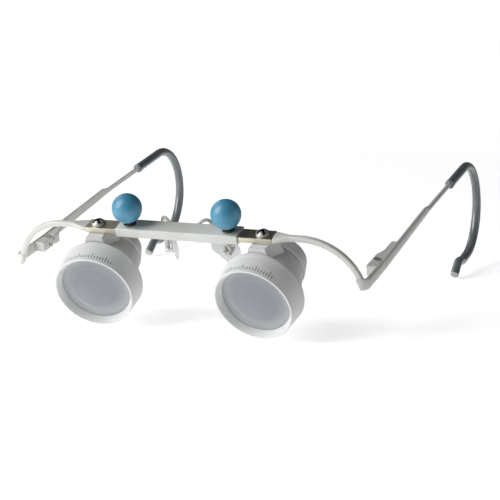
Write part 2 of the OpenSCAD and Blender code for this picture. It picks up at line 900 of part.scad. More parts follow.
// The conical body, threaded into the front ring and, at its narrow neck, into the eyepiece
module barrel_body() {
    neck_end = eyepiece_start + neck_thread;
    color("#d3d3cf")
        on_optic()
            rotate_extrude()
                polygon([
                    [thread_r - body_wall, front_ring_length - body_thread],
                    [thread_r, front_ring_length - body_thread],
                    [thread_r, front_ring_length],
                    [body_front_d / 2, front_ring_length],
                    [body_rear_d / 2, eyepiece_start],
                    [neck_r, eyepiece_start],
                    [neck_r, neck_end],
                    [neck_r - body_wall, neck_end],
                    [neck_r - body_wall, eyepiece_start - past]
                ]);
}

// The eyepiece ring: a band that tapers to the rear, with a seat for its lens and a shallow cup
module eyepiece_ring() {
    ring_end = eyepiece_start + eyepiece_length;
    bore_end = eyepiece_start + neck_thread;
    seat_r = eyepiece_lens_r + seated;
    color("#d9d8d4")
        on_optic()
            rotate_extrude()
                polygon([
                    [neck_r + seated, eyepiece_start],
                    [eyepiece_r, eyepiece_start],
                    [eyepiece_r, eyepiece_start + eyepiece_band],
                    [eyepiece_end_r, ring_end],
                    [eyepiece_end_r - eyepiece_wall / 2, ring_end],
                    [seat_r - lip_w, ring_end - eyepiece_cup],
                    [seat_r, ring_end - eyepiece_cup],
                    [seat_r, bore_end],
                    [neck_r + seated, bore_end]
                ]);
}

// The eyepiece's lens, hollow on both faces
module eyepiece_lens() {
    lens_end = eyepiece_start + eyepiece_length - eyepiece_cup;
    dip = eyepiece_lens_curve - sqrt(pow(eyepiece_lens_curve, 2) - pow(eyepiece_lens_r - lip_w, 2));
    color("#9aa0a5")
        on_optic()
            rotate_extrude()
                difference() {
                    translate([0, lens_end - eyepiece_lens_edge])
                        square([eyepiece_lens_r, eyepiece_lens_edge]);
                    translate([0, lens_end - eyepiece_lens_edge + dip - eyepiece_lens_curve])
                        lens_face(eyepiece_lens_curve);
                    translate([0, lens_end - dip + eyepiece_lens_curve])
                        lens_face(eyepiece_lens_curve);
                }
}

// The ring that holds the eyepiece's lens from inside
module eyepiece_lock_ring() {
    ring_start = eyepiece_start + neck_thread;
    lens_start = eyepiece_start + eyepiece_length - eyepiece_cup - eyepiece_lens_edge;
    color("#2f3133")
        on_optic()
            translate([0, 0, ring_start])
                linear_extrude(lens_start - ring_start)
                    difference() {
                        circle(r = eyepiece_lens_r);
                        circle(r = eyepiece_lens_r - lock_w);
                    }
}

// The bent wire that carries the pad, with an eye for the pad's pin
module pad_arm() {
    color("#c8c9c4")
        difference() {
            union() {
                on_front() {
                    translate(pad_arm_root)
                        rotate([pad_arm_rise, 0, -pad_arm_heading])
                            translate([0, -past, 0])
                                bent_rod(
                                    [[pad_arm_slant + past, pad_arch_r, pad_arm_rise + pad_arm_fall]],
                                    pad_wire_d
                                );
                    translate(pad_arch_end)
                        rotate([0, 90 + pad_run_fall, pad_run_heading])
                            cylinder(d = pad_wire_d, h = norm(pad_arm_run));
                }
                on_pad()
                    translate([pin_offset, 0, 0])
                        rotate([90, 0, 0])
                            cylinder(r = eye_r, h = eye_l, center = true);
            }
            on_front()
                block([channel_length, channel_depth, channel_height]);
            on_pad()
                translate([pin_offset, 0, 0])
                    rotate([90, 0, 0])
                        cylinder(d = pad_pin_d, h = 2 * insert_width, center = true);
        }
}

// The pin through the arm's eye and the insert's ears
module pad_pin() {
    color("#a9a79f")
        on_pad()
            translate([pin_offset, 0, 0])
                rotate([90, 0, 0])
                    cylinder(d = pad_pin_d, h = eye_l + 2 * (ear_gap + ear_t), center = true);
}

// The six-sided metal insert on the pad's outer face, with two ears that turn on the pin
module pad_insert() {
    color("#b4b2aa")
        on_pad()
            difference() {
                union() {
                    rotate([0, 90, 0])
                        cylinder(d = insert_width, h = insert_t, $fn = 6);
                    for (end = [-1, 1])
                        translate([0, end * (eye_l / 2 + ear_gap + ear_t / 2), 0])
                            rotate([90, 0, 0])
                                linear_extrude(ear_t, center = true) {
                                    translate([pin_offset, 0])
                                        circle(r = eye_r);
                                    translate([0, -eye_r])
                                        square([pin_offset, 2 * eye_r]);
                                }
                }
                translate([pin_offset, 0, 0])
                    rotate([90, 0, 0])
                        cylinder(d = pad_pin_d + 2 * turning, h = 2 * insert_width, center = true);
            }
}

// The clear soft pad, longer than it is wide, with round ends
module nose_pad() {
    color("#e3e5e4")
        on_pad()
            translate([-pad_t, 0, 0])
                rotate([90, 0, 90])
                    linear_extrude(pad_t)
                        round_ended(pad_length, pad_width);
}

bridge_channel();
for (side = SIDES) {
    on_side(side) clamp_ball();
    on_side(side) clamp_screw();
    on_side(side) clamp_collar();
    on_side(side) clamp_nut();
    on_side(side) slider();
    on_side(side) brow_arm();
    on_side(side) end_piece();
    on_side(side) front_leaf();
    on_side(side) hinge_screw();
    on_side(side) mount_screw();
    on_side(side) swivel_washer();
    on_side(side) mount_lug();
    on_side(side) front_ring();
    on_side(side) front_lens();
    on_side(side) front_lock_ring();
    on_side(side) barrel_body();
    on_side(side) eyepiece_ring();
    on_side(side) eyepiece_lens();
    on_side(side) eyepiece_lock_ring();
    on_side(side) temple_leaf();
    on_side(side) temple_bar();
    on_side(side) ear_sleeve();
    on_side(side) pad_arm();
    on_side(side) pad_pin();
    on_side(side) pad_insert();
    on_side(side) nose_pad();
}
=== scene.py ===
# %% [markdown]
# # Dental loupes: from plain solids to a finished look
# The CAD model gives every piece its place, its size and the way it moves. Here the loupes get their
# finish: rounded edges, paint, brushed metal, soft plastic and glass. A piece whose CAD shape is already
# right keeps its mesh and gets a better material. A piece that needs softer forms is computed again as a
# surface with numpy, and then rides on the same moving body as the solid that it replaces.

import json

import bmesh
import bpy
import numpy as np
from mathutils import Matrix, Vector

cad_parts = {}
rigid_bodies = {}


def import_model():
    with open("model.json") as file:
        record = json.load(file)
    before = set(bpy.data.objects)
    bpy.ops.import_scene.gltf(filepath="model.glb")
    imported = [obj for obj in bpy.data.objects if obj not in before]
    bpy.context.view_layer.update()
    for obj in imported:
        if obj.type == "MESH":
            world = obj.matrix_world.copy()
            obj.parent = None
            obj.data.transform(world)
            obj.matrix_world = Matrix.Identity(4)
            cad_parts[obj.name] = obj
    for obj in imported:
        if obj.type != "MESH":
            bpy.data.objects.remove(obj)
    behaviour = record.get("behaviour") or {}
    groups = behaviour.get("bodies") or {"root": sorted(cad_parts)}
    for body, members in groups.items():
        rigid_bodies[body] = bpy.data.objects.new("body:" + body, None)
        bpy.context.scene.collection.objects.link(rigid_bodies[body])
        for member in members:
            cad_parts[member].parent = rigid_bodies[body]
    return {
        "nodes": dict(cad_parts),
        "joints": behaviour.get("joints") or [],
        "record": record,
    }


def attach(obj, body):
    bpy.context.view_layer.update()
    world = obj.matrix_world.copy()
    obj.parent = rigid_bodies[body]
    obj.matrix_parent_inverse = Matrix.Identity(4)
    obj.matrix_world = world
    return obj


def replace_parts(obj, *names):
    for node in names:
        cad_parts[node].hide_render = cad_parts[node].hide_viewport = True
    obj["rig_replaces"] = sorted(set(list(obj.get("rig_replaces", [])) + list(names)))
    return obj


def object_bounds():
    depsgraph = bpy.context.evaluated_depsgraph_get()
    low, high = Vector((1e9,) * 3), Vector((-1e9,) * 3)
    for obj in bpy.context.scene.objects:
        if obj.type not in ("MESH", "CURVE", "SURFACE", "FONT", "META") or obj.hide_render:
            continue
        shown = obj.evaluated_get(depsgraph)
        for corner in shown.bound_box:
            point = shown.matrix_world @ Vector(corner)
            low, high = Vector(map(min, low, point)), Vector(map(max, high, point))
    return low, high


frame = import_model()
cad_low, cad_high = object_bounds()

# %% [markdown]
# ## Where the pieces are
# The loupes are tilted on the table and their temples slope down, so it is easier to draw each piece in a
# frame of its own. The joints give two of these frames: the bridge stands on the axis of the telescope's
# swivel, and the temple on the axis of its hinge. The telescope and the nose pad are placed from the
# bridge by their angles. Sizes are in millimetres, and become metres when a mesh is made.

# %% Frames of the bridge, the hinge, the telescope and the pad
MM = 0.001
QUARTER_TURN = 90.0
OPTIC_DROP = 17.5
OPTIC_REACH = 15.3
DECLINATION = 5.7
CONVERGENCE = 4.0
PAD_PLACE = (11.1, 13.6, -14.6)
PAD_SPLAY = 25.0
PAD_LEAN = 37.0

joints = {joint["name"]: joint for joint in frame["joints"]}


def standing_frame(joint):
    """A 4 by 4 frame at the joint's place: Z along the joint's axis, X along the world's X."""
    up = np.array(joint["axis"])
    right = np.array([1.0, 0.0, 0.0])
    made = np.eye(4)
    made[:3, :3] = np.column_stack([right, np.cross(up, right), up])
    made[:3, 3] = np.array(joint["pos_m"]) / MM
    return made


def turned(degrees, axis):
    """A 4 by 4 turn about one axis."""
    return np.array(Matrix.Rotation(np.radians(degrees), 4, axis))


def shifted(x, y, z):
    """A 4 by 4 shift in millimetres."""
    return np.array(Matrix.Translation((x, y, z)))


hinge_frame = standing_frame(joints["temple_fold_right"])
bridge_frame = standing_frame(joints["telescope_swivel_right"])
mount_x = bridge_frame[0, 3]
bridge_frame[0, 3] = 0.0
optic_frame = (
    bridge_frame
    @ shifted(mount_x, 0.0, -OPTIC_DROP)
    @ turned(-CONVERGENCE, "Z")
    @ turned(DECLINATION - QUARTER_TURN, "X")
    @ shifted(0.0, 0.0, -OPTIC_REACH)
)
pad_frame = bridge_frame @ shifted(*PAD_PLACE) @ turned(-PAD_SPLAY, "Z") @ turned(PAD_LEAN, "X")
print("bridge pitch in degrees:", round(np.degrees(np.arcsin(bridge_frame[2, 1])), 3))

# %% [markdown]
# ## Round corners
# Almost every piece is one of three kinds. A turned piece is a profile that goes round an axis. A bar or
# wire is a section that runs along a path. A flat piece is an outline with a thickness. No real edge is
# perfectly sharp, so a profile or outline first gets small round corners, which catch the light as a thin
# bright line. A Bevel modifier could do it too, but here each corner has a radius of its own.

# %% Round corners
ROUND_STEPS = 6
SUPPORT = 0.25
SIDE_SHARES = 3


def unit(vectors):
    """The same directions with length one."""
    return vectors / np.linalg.norm(vectors, axis=-1, keepdims=True)


def rounded(corners, radii):
    """A closed polygon with round corners.

    At each corner a circle touches both sides. The arc starts on the incoming side, turns by the angle
    between the two sides, and has one more point just before and just after it, which keeps the flat
    sides flat when shaded. These points stay within a third of what the arcs leave of the side.
    """
    corners = np.array(corners, float)
    radii = np.broadcast_to(np.array(radii, float), len(corners))[:, None]
    side = np.roll(corners, -1, axis=0) - corners
    ahead = unit(side)
    behind = np.roll(ahead, 1, axis=0)
    turn = np.arccos(np.clip((ahead * behind).sum(axis=1, keepdims=True), -1.0, 1.0))
    taken = radii * np.tan(turn / 2)
    left_over = np.linalg.norm(side, axis=1, keepdims=True) - taken - np.roll(taken, -1, axis=0)
    middle = corners + unit(ahead - behind) * radii / np.cos(turn / 2)
    start = corners - behind * taken
    end = corners + ahead * taken
    angle = (turn * np.linspace(0.0, 1.0, ROUND_STEPS))[..., None]
    from_middle = (start - middle)[:, None]
    onwards = (behind * radii)[:, None]
    arc = middle[:, None] + from_middle * np.cos(angle) + onwards * np.sin(angle)
    room_before = np.roll(left_over, 1, axis=0) / SIDE_SHARES
    room_after = left_over / SIDE_SHARES
    before = (start - behind * np.minimum(radii * SUPPORT, room_before))[:, None]
    after = (end + ahead * np.minimum(radii * SUPPORT, room_after))[:, None]
    loop = np.concatenate([before, arc, after], axis=1).reshape(-1, 2)
    return np.vstack([loop, loop[:1]])


print("points at each round corner:", ROUND_STEPS + 2)

# %% [markdown]
# ## Turned pieces
# Rings, knobs, screws and lenses come from a lathe. Blender's Spin tool could turn the profile, but a
# grid computed with numpy needs no modelling steps, and its UV tells how far round the axis and how far
# along the profile a point lies.

# %% Turned pieces
LATHE_STEPS = 128


def lengths_along(points):
    """Distance along a row of points, from the first one."""
    steps = np.linalg.norm(np.diff(points, axis=0), axis=1)
    return np.concatenate([[0.0], np.cumsum(steps)])


def lathe(profile):
    """A profile of [radius, height] that goes once round the Z axis.

    x is the radius times the cosine of the angle, y the radius times its sine, z the height. UV is
    [turns, length along the profile].
    """
    angle = np.linspace(0.0, 2.0 * np.pi, LATHE_STEPS + 1)
    radius, height = profile.T
    x = np.outer(np.cos(angle), radius)
    y = np.outer(np.sin(angle), radius)
    grid = np.stack([x, y, np.broadcast_to(height, x.shape)], axis=-1)
    turns = np.broadcast_to(np.linspace(0.0, 1.0, LATHE_STEPS + 1)[:, None], x.shape)
    return grid, np.stack([turns, np.broadcast_to(lengths_along(profile), x.shape)], axis=-1)


print("steps round an axis:", LATHE_STEPS)

# %% [markdown]
# ## Bars and wires
# The arms, the temples and the sleeves are drawn stock: one section along a bent path. A curve with a
# bevel object could make them, but here the width and the height change along the way, and the ends are
# rounded too.

# %% Bars and wires
SECTION_STEPS = 40
EDGE_STEPS = 5
BAR_POWER = 4.0
DOME_POWER = 2.3
FLAT_POWER = 9.0


def squarish(angle, power):
    """A unit section between a circle (power 2) and a square (high power).

    The cosine and the sine keep their signs, and their sizes are raised to 2 / power.
    """
    across = np.cos(angle)
    over = np.sin(angle)
    bent = 2.0 / np.broadcast_to(power, angle.shape)
    return np.sign(across) * np.abs(across) ** bent, np.sign(over) * np.abs(over) ** bent


def round_section(angle):
    """A circle."""
    return np.cos(angle), np.sin(angle)


def bar_section(angle):
    """A bar with well rounded corners."""
    return squarish(angle, BAR_POWER)


def strip_section(angle):
    """A strip that is flat inside and slightly domed outside."""
    return squarish(angle, np.where(np.cos(angle) > 0.0, DOME_POWER, FLAT_POWER))


def sweep(path, across, over, half_width, half_height, section, edge):
    """A section that runs along a path and closes at both ends.

    Every point is the path's point, plus the section's first coordinate times half the width along
    `across`, plus its second one times half the height along `over`. Beyond both ends, rows on a quarter
    circle of radius `edge` round the rim, and a last row at zero size closes the flat end. UV is [turns,
    length along the path].
    """
    count = len(path)
    quarter = np.linspace(0.0, np.pi / 2.0, EDGE_STEPS)[:-1]
    shrink = edge * (1.0 - np.sin(quarter))
    beyond = edge * np.cos(quarter)
    head = path[0] - np.outer(beyond, unit(path[1] - path[0]))
    tail = (path[-1] + np.outer(beyond, unit(path[-1] - path[-2])))[::-1]
    middle = np.vstack([head[:1], head, path, tail, tail[-1:]])
    row = np.clip(np.arange(len(middle)) - len(head) - 1, 0, count - 1)
    inset = np.concatenate([shrink[:1], shrink, np.zeros(count), shrink[::-1], shrink[:1]])
    closed = np.ones(len(middle))
    closed[[0, -1]] = 0.0
    width = (np.broadcast_to(half_width, count)[row] - inset) * closed
    height = (np.broadcast_to(half_height, count)[row] - inset) * closed
    angle = np.linspace(0.0, 2.0 * np.pi, SECTION_STEPS + 1)
    x, y = section(angle)
    across = np.broadcast_to(across, path.shape)[row][:, None]
    over = np.broadcast_to(over, path.shape)[row][:, None]
    grid = middle[:, None] + across * np.outer(width, x)[..., None] + over * np.outer(height, y)[..., None]
    around = np.broadcast_to(angle / (2.0 * np.pi), grid.shape[:2])
    along = np.broadcast_to(lengths_along(middle)[:, None], grid.shape[:2])
    return grid, np.stack([around, along], axis=-1)


print("points round a bar:", SECTION_STEPS)

# %% [markdown]
# ## Flat pieces
# The leaves of the hinges are built up from small flat blocks with slightly rounded edges. An extruded
# outline with a Bevel modifier would look much the same. Rows of the outline at several heights give the
# round edge directly.

# %% Flat pieces
def plate(outline, low, high, edge):
    """A flat piece with rounded edges.

    The outline is a closed loop, drawn anticlockwise. It is repeated at several heights. Near the two
    faces it moves inwards along its own normals on a quarter circle of radius `edge`, and a last row at
    the middle of the outline closes each face. UV is the plan in millimetres.
    """
    quarter = np.linspace(0.0, np.pi / 2.0, EDGE_STEPS)
    inset = np.concatenate([[edge * (1.0 + SUPPORT)], edge * (1.0 - np.sin(quarter))])
    rise = np.concatenate([[0.0], edge * (1.0 - np.cos(quarter))])
    insets = np.concatenate([inset, inset[::-1]])
    heights = np.concatenate([low + rise, high - rise[::-1]])
    ring = outline[:-1]
    tangent = unit(np.roll(ring, -1, axis=0) - np.roll(ring, 1, axis=0))
    outward = np.column_stack([tangent[:, 1], -tangent[:, 0]])
    outward = np.vstack([outward, outward[:1]])
    rows = outline[None] - insets[:, None, None] * outward[None]
    centre = np.broadcast_to(ring.mean(axis=0), (1, len(outline), 2))
    plan = np.concatenate([centre, rows, centre])
    height = np.concatenate([[low], heights, [high]])
    grid = np.concatenate([plan, np.broadcast_to(height[:, None, None], plan.shape[:2] + (1,))], axis=-1)
    return grid, plan


print("rows over a rounded edge:", EDGE_STEPS)

# %% [markdown]
# ## From grids to meshes
# A grid becomes quads between neighbouring points. Points that coincide at a seam or a pole are merged,
# so that the skin is closed, and then the normals are turned outwards. Faces that meet at a steep angle
# keep a sharp edge.

# %% From grids to meshes
MERGE = 1e-7
SHARP = np.radians(38.0)


def mesh_of(name, surfaces):
    """One mesh from closed surfaces, each a grid of points in metres with a grid of UVs."""
    points = []
    uvs = []
    quads = []
    start = 0
    for grid, uv in surfaces:
        rows, columns = grid.shape[:2]
        index = start + np.arange(rows * columns).reshape(rows, columns)
        corners = [index[:-1, :-1], index[1:, :-1], index[1:, 1:], index[:-1, 1:]]
        quads.append(np.stack(corners, axis=-1).reshape(-1, 4))
        points.append(grid.reshape(-1, 3))
        uvs.append(uv.reshape(-1, 2))
        start += rows * columns
    quads = np.concatenate(quads)
    mesh = bpy.data.meshes.new(name)
    mesh.from_pydata(np.concatenate(points), [], quads)
    layer = mesh.uv_layers.new(name="UVMap")
    layer.data.foreach_set("uv", np.concatenate(uvs)[quads.ravel()].ravel())
    work = bmesh.new()
    work.from_mesh(mesh)
    bmesh.ops.remove_doubles(work, verts=work.verts, dist=MERGE)
    bmesh.ops.recalc_face_normals(work, faces=work.faces)
    work.to_mesh(mesh)
    work.free()
    mesh.polygons.foreach_set("use_smooth", np.ones(len(mesh.polygons), bool))
    mesh.set_sharp_from_angle(angle=SHARP)
    return mesh


print("edges stay sharp above", round(np.degrees(SHARP)), "degrees")

# %% [markdown]
# ## From meshes to pieces
# The left-hand pieces are the mirror image of the right-hand ones. Each object stays at the origin with
# its place in its vertices, takes the finish of its CAD node's slot, and rides on that node's body.

# %% From meshes to pieces
SIDES = {"left": -1, "right": 1}

record = frame["record"]
body_of = {node: body for body, nodes in record["behaviour"]["bodies"].items() for node in nodes}
slot_of = {part["node"]: part["material_slot"] for part in record["subparts"]}
looks = {}
made_pieces = []


def moved(grid, where):
    """Points of a frame, as they lie in the frame around it."""
    return grid @ where[:3, :3].T + where[:3, 3]


def placed(grid, where, sign):
    """Points of a piece's own frame in metres in the world, mirrored in X for the left side."""
    return moved(grid, where) * MM * np.array([sign, 1.0, 1.0])


def make_piece(node, surfaces, where, sign, look=None):
    """A finished object in place of one CAD node."""
    mesh = mesh_of(node + "_skin", [(placed(grid, where, sign), uv) for grid, uv in surfaces])
    mesh.materials.append(look or looks[slot_of[node]])
    piece = bpy.data.objects.new(node + "_skin", mesh)
    bpy.context.scene.collection.objects.link(piece)
    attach(piece, body_of[node])
    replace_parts(piece, node)
    made_pieces.append(piece)


def make_pair(name, surfaces, where, look=None):
    """The piece on the right and its mirror image on the left."""
    for side, sign in SIDES.items():
        make_piece(f"{name}_{side}", surfaces, where, sign, look)
    print(name, "quads and triangles per side:", len(made_pieces[-1].data.polygons))


print("nodes with a body:", len(body_of), "nodes with a slot:", len(slot_of))

# %% [markdown]
# ## Building with shader nodes
# A material is a small network of nodes. In the editor you would place the nodes by hand. A few short
# functions do the same here, each for one kind of node, so that a finish reads like a recipe.

# %% Building with shader nodes
def feed(tree, socket, value):
    """Links an input to another socket, or sets its value."""
    if isinstance(value, bpy.types.NodeSocket):
        tree.links.new(value, socket)
    else:
        socket.default_value = value


def add(tree, kind, inputs=None, **settings):
    """Adds a node with its settings and its inputs."""
    made = tree.nodes.new(kind)
    for name, value in settings.items():
        setattr(made, name, value)
    for name, value in (inputs or {}).items():
        feed(tree, made.inputs[name], value)
    return made


def sums(tree, operation, *values):
    """The result of a Math node."""
    return add(tree, "ShaderNodeMath", dict(enumerate(values)), operation=operation).outputs[0]


def measured(tree, operation, *vectors):
    """A length, a distance or a dot product from a Vector Math node."""
    return add(tree, "ShaderNodeVectorMath", dict(enumerate(vectors)), operation=operation).outputs["Value"]


def part_of(tree, vector, axis):
    """One coordinate of a vector."""
    return add(tree, "ShaderNodeSeparateXYZ", {0: vector}).outputs[axis]


def spread(tree, value, low, high):
    """A value between two limits, spread smoothly over 0 to 1."""
    inputs = {"Value": value, "From Min": low, "From Max": high}
    return add(tree, "ShaderNodeMapRange", inputs, interpolation_type="SMOOTHSTEP").outputs["Result"]


def between(tree, mask, low, high):
    """A value that runs from low to high as a mask runs from 0 to 1."""
    return add(tree, "ShaderNodeMapRange", {"Value": mask, "To Min": low, "To Max": high}).outputs["Result"]


def noise(tree, vector, scale, detail):
    """The value of a noise texture."""
    inputs = {"Vector": vector, "Scale": scale, "Detail": detail}
    return add(tree, "ShaderNodeTexNoise", inputs).outputs[0]


def opaque(colour):
    """A colour of three numbers with full alpha. The socket of another node stays as it is."""
    return colour if isinstance(colour, bpy.types.NodeSocket) else (*colour, 1.0)


def mixed(tree, mask, first, second):
    """Two colours mixed by a mask. A colour is three numbers, or the colour socket of another node."""
    made = add(tree, "ShaderNodeMix", data_type="RGBA")
    tree.links.new(mask, made.inputs["Factor"])
    for name, colour in (("A", first), ("B", second)):
        socket = next(one for one in made.inputs if one.name == name and one.type == "RGBA")
        feed(tree, socket, opaque(colour))
    return next(one for one in made.outputs if one.type == "RGBA")


print("node helpers ready, materials so far:", len(bpy.data.materials))

# %% [markdown]
# ## Shared effects
# Effects that several finishes share are built once as groups with named inputs and outputs. `Skin` gives
# the fine grain of paint or moulded plastic and its slow unevenness. `Brushed` stretches noise into long
# thin lines, as a belt leaves them on metal. `Handling` marks the patches that fingers have touched,
# where a surface is a little duller.

# %% Shared effects
GRAIN_DETAIL = 2.0
PATCH_DETAIL = 3.0
PATCH_LIMITS = (0.3, 0.7)
LINE_DETAIL = 4.0
STREAK_DETAIL = 2.0
STREAK_LIMITS = (0.35, 0.65)
SMEAR_DETAIL = 5.0
SMEAR_LIMITS = (0.48, 0.68)


def new_group(name, inputs, outputs):
    """An empty shader group with its named inputs and outputs."""
    tree = bpy.data.node_groups.new(name, "ShaderNodeTree")
    for label, kind in inputs.items():
        tree.interface.new_socket(name=label, in_out="INPUT", socket_type="NodeSocket" + kind)
    for label in outputs:
        tree.interface.new_socket(name=label, in_out="OUTPUT", socket_type="NodeSocketFloat")
    return tree, tree.nodes.new("NodeGroupInput").outputs, tree.nodes.new("NodeGroupOutput").inputs


skin_group, given, result = new_group(
    "Skin", {"Vector": "Vector", "Grain Scale": "Float", "Patch Scale": "Float"}, ["Grain", "Patches"]
)
grain = noise(skin_group, given["Vector"], given["Grain Scale"], GRAIN_DETAIL)
patches = noise(skin_group, given["Vector"], given["Patch Scale"], PATCH_DETAIL)
skin_group.links.new(grain, result["Grain"])
skin_group.links.new(spread(skin_group, patches, *PATCH_LIMITS), result["Patches"])

brushed_group, given, result = new_group(
    "Brushed",
    {"Vector": "Vector", "Stretch": "Vector", "Line Scale": "Float", "Streak Scale": "Float"},
    ["Lines", "Streaks"]
)
stretched = add(
    brushed_group, "ShaderNodeVectorMath", {0: given["Vector"], 1: given["Stretch"]}, operation="MULTIPLY"
).outputs[0]
lines = noise(brushed_group, stretched, given["Line Scale"], LINE_DETAIL)
streaks = noise(brushed_group, stretched, given["Streak Scale"], STREAK_DETAIL)
brushed_group.links.new(lines, result["Lines"])
brushed_group.links.new(spread(brushed_group, streaks, *STREAK_LIMITS), result["Streaks"])

handling_group, given, result = new_group("Handling", {"Vector": "Vector", "Scale": "Float"}, ["Touched"])
smears = noise(handling_group, given["Vector"], given["Scale"], SMEAR_DETAIL)
handling_group.links.new(spread(handling_group, smears, *SMEAR_LIMITS), result["Touched"])
print("shared effects:", [group.name for group in bpy.data.node_groups])

# %% [markdown]
# ## A scale of marks
# The front ring carries a printed scale. A picture could hold it, but a few sums on the UV stay sharp at
# any distance. The turns are counted in steps, and each step holds one mark in its middle. Every fifth
# mark is longer.

# %% A scale of marks
EVERY_LONG = 5.0
STEP_MIDDLE = 0.5
BELOW_ONE = 0.5

tick_group, given, result = new_group(
    "Tick scale",
    {
        "UV": "Vector", "First": "Float", "Last": "Float", "Count": "Float", "Half Width": "Float",
        "Near": "Float", "Short": "Float", "Extra": "Float"
    },
    ["Mark"]
)
turns = part_of(tick_group, given["UV"], "X")
length = part_of(tick_group, given["UV"], "Y")
counted = sums(tick_group, "MULTIPLY", turns, given["Count"])
in_step = sums(tick_group, "SUBTRACT", sums(tick_group, "FRACT", counted), STEP_MIDDLE)
on_tick = sums(tick_group, "LESS_THAN", sums(tick_group, "ABSOLUTE", in_step), given["Half Width"])
since_long = sums(tick_group, "MODULO", sums(tick_group, "FLOOR", counted), EVERY_LONG)
is_long = sums(tick_group, "LESS_THAN", since_long, BELOW_ONE)
far_end = sums(tick_group, "MULTIPLY_ADD", is_long, given["Extra"], given["Short"])
past_near = sums(tick_group, "GREATER_THAN", length, given["Near"])
before_far = sums(tick_group, "LESS_THAN", length, far_end)
past_first = sums(tick_group, "GREATER_THAN", turns, given["First"])
before_last = sums(tick_group, "LESS_THAN", turns, given["Last"])
inside_band = sums(tick_group, "MULTIPLY", past_near, before_far)
inside_arc = sums(tick_group, "MULTIPLY", past_first, before_last)
inside = sums(tick_group, "MULTIPLY", inside_band, inside_arc)
tick_group.links.new(sums(tick_group, "MULTIPLY", inside, on_tick), result["Mark"])
print("nodes in the scale:", len(tick_group.nodes))

# %% [markdown]
# ## Paint, plastic and metal
# The frame is sprayed with a satin grey-white paint, and the telescopes with a matte, slightly lighter
# one. The sliding plates are bare metal with a champagne tint, and the knobs soft blue plastic. Each
# finish starts from a Principled shader. Two close colours are mixed by a mask, roughness follows the
# touched patches or the brushed lines, and the grain goes into a fine bump. CAD solids keep sharp edges,
# so their finishes also round the shading at the edges with a Bevel node.

# %% Recipes for paint and metal
PATCH_SCALE = 90.0
TOUCH_SCALE = 140.0
EDGE_ROUND = 0.00015
BEVEL_SAMPLES = 6
LINES_PER_STREAK = 5.0
# Depths in millimetres over which the painted shade in a recess fades in.
PAINTED_SHADE_DEPTH = (0.05, 0.4)


def new_look(name, **inputs):
    """A material with a Principled shader, and the object's coordinates to texture it with."""
    look = bpy.data.materials.new(name)
    look.use_nodes = True
    tree = look.node_tree
    shader = tree.nodes["Principled BSDF"]
    for label, value in inputs.items():
        shader.inputs[label.replace("_", " ")].default_value = value
    return look, tree, shader, tree.nodes.new("ShaderNodeTexCoord").outputs


def group_in(tree, group, inputs):
    """The outputs of a shader group placed in a material."""
    return add(tree, "ShaderNodeGroup", inputs, node_tree=group).outputs


def bumped(tree, shader, height, depth, edge=None):
    """A fine relief `depth` metres deep, on shading that is rounded at the edges if `edge` is given."""
    bump = add(tree, "ShaderNodeBump", {"Height": height, "Strength": 1.0, "Distance": depth})
    if edge:
        bevel = add(tree, "ShaderNodeBevel", {"Radius": edge}, samples=BEVEL_SAMPLES)
        tree.links.new(bevel.outputs[0], bump.inputs["Normal"])
    tree.links.new(bump.outputs[0], shader.inputs["Normal"])


def coated(name, light, dark, grain, roughness, depth, edge=None, **inputs):
    """A paint, plastic or rubber: two close shades in patches, with fine grain and touched places."""
    look, tree, shader, coords = new_look(name, **inputs)
    on_skin = {"Vector": coords["Object"], "Grain Scale": grain, "Patch Scale": PATCH_SCALE}
    skin = group_in(tree, skin_group, on_skin)
    touched = group_in(tree, handling_group, {"Vector": coords["Object"], "Scale": TOUCH_SCALE})["Touched"]
    colour = mixed(tree, skin["Patches"], dark, light)
    tree.links.new(colour, shader.inputs["Base Color"])
    tree.links.new(between(tree, touched, *roughness), shader.inputs["Roughness"])
    bumped(tree, shader, skin["Grain"], depth, edge)
    return look, tree, shader, coords, colour


def metal(name, light, dark, stretch, line_scale, roughness, depth, dirt=None):
    """Bare metal with brushed lines along the axis that `stretch` makes shortest.

    The last argument, if given, is painted shade: a dark colour laid into the recesses as they deepen.
    Their depth in millimetres is the second UV coordinate.
    """
    look, tree, shader, coords = new_look(name, Metallic=1.0)
    on_metal = {
        "Vector": coords["Object"], "Stretch": stretch, "Line Scale": line_scale,
        "Streak Scale": line_scale / LINES_PER_STREAK
    }
    brushed = group_in(tree, brushed_group, on_metal)
    colour = mixed(tree, brushed["Streaks"], dark, light)
    # Painted shade: the recess colour covers the metal more as the recess deepens.
    if dirt:
        depth_below = part_of(tree, coords["UV"], "Y")
        colour = mixed(tree, spread(tree, depth_below, *PAINTED_SHADE_DEPTH), colour, dirt)
    tree.links.new(colour, shader.inputs["Base Color"])
    tree.links.new(between(tree, brushed["Lines"], *roughness), shader.inputs["Roughness"])
    bumped(tree, shader, brushed["Lines"], depth, EDGE_ROUND)
    return look


print("edges of CAD solids shaded round by", EDGE_ROUND / MM, "mm")
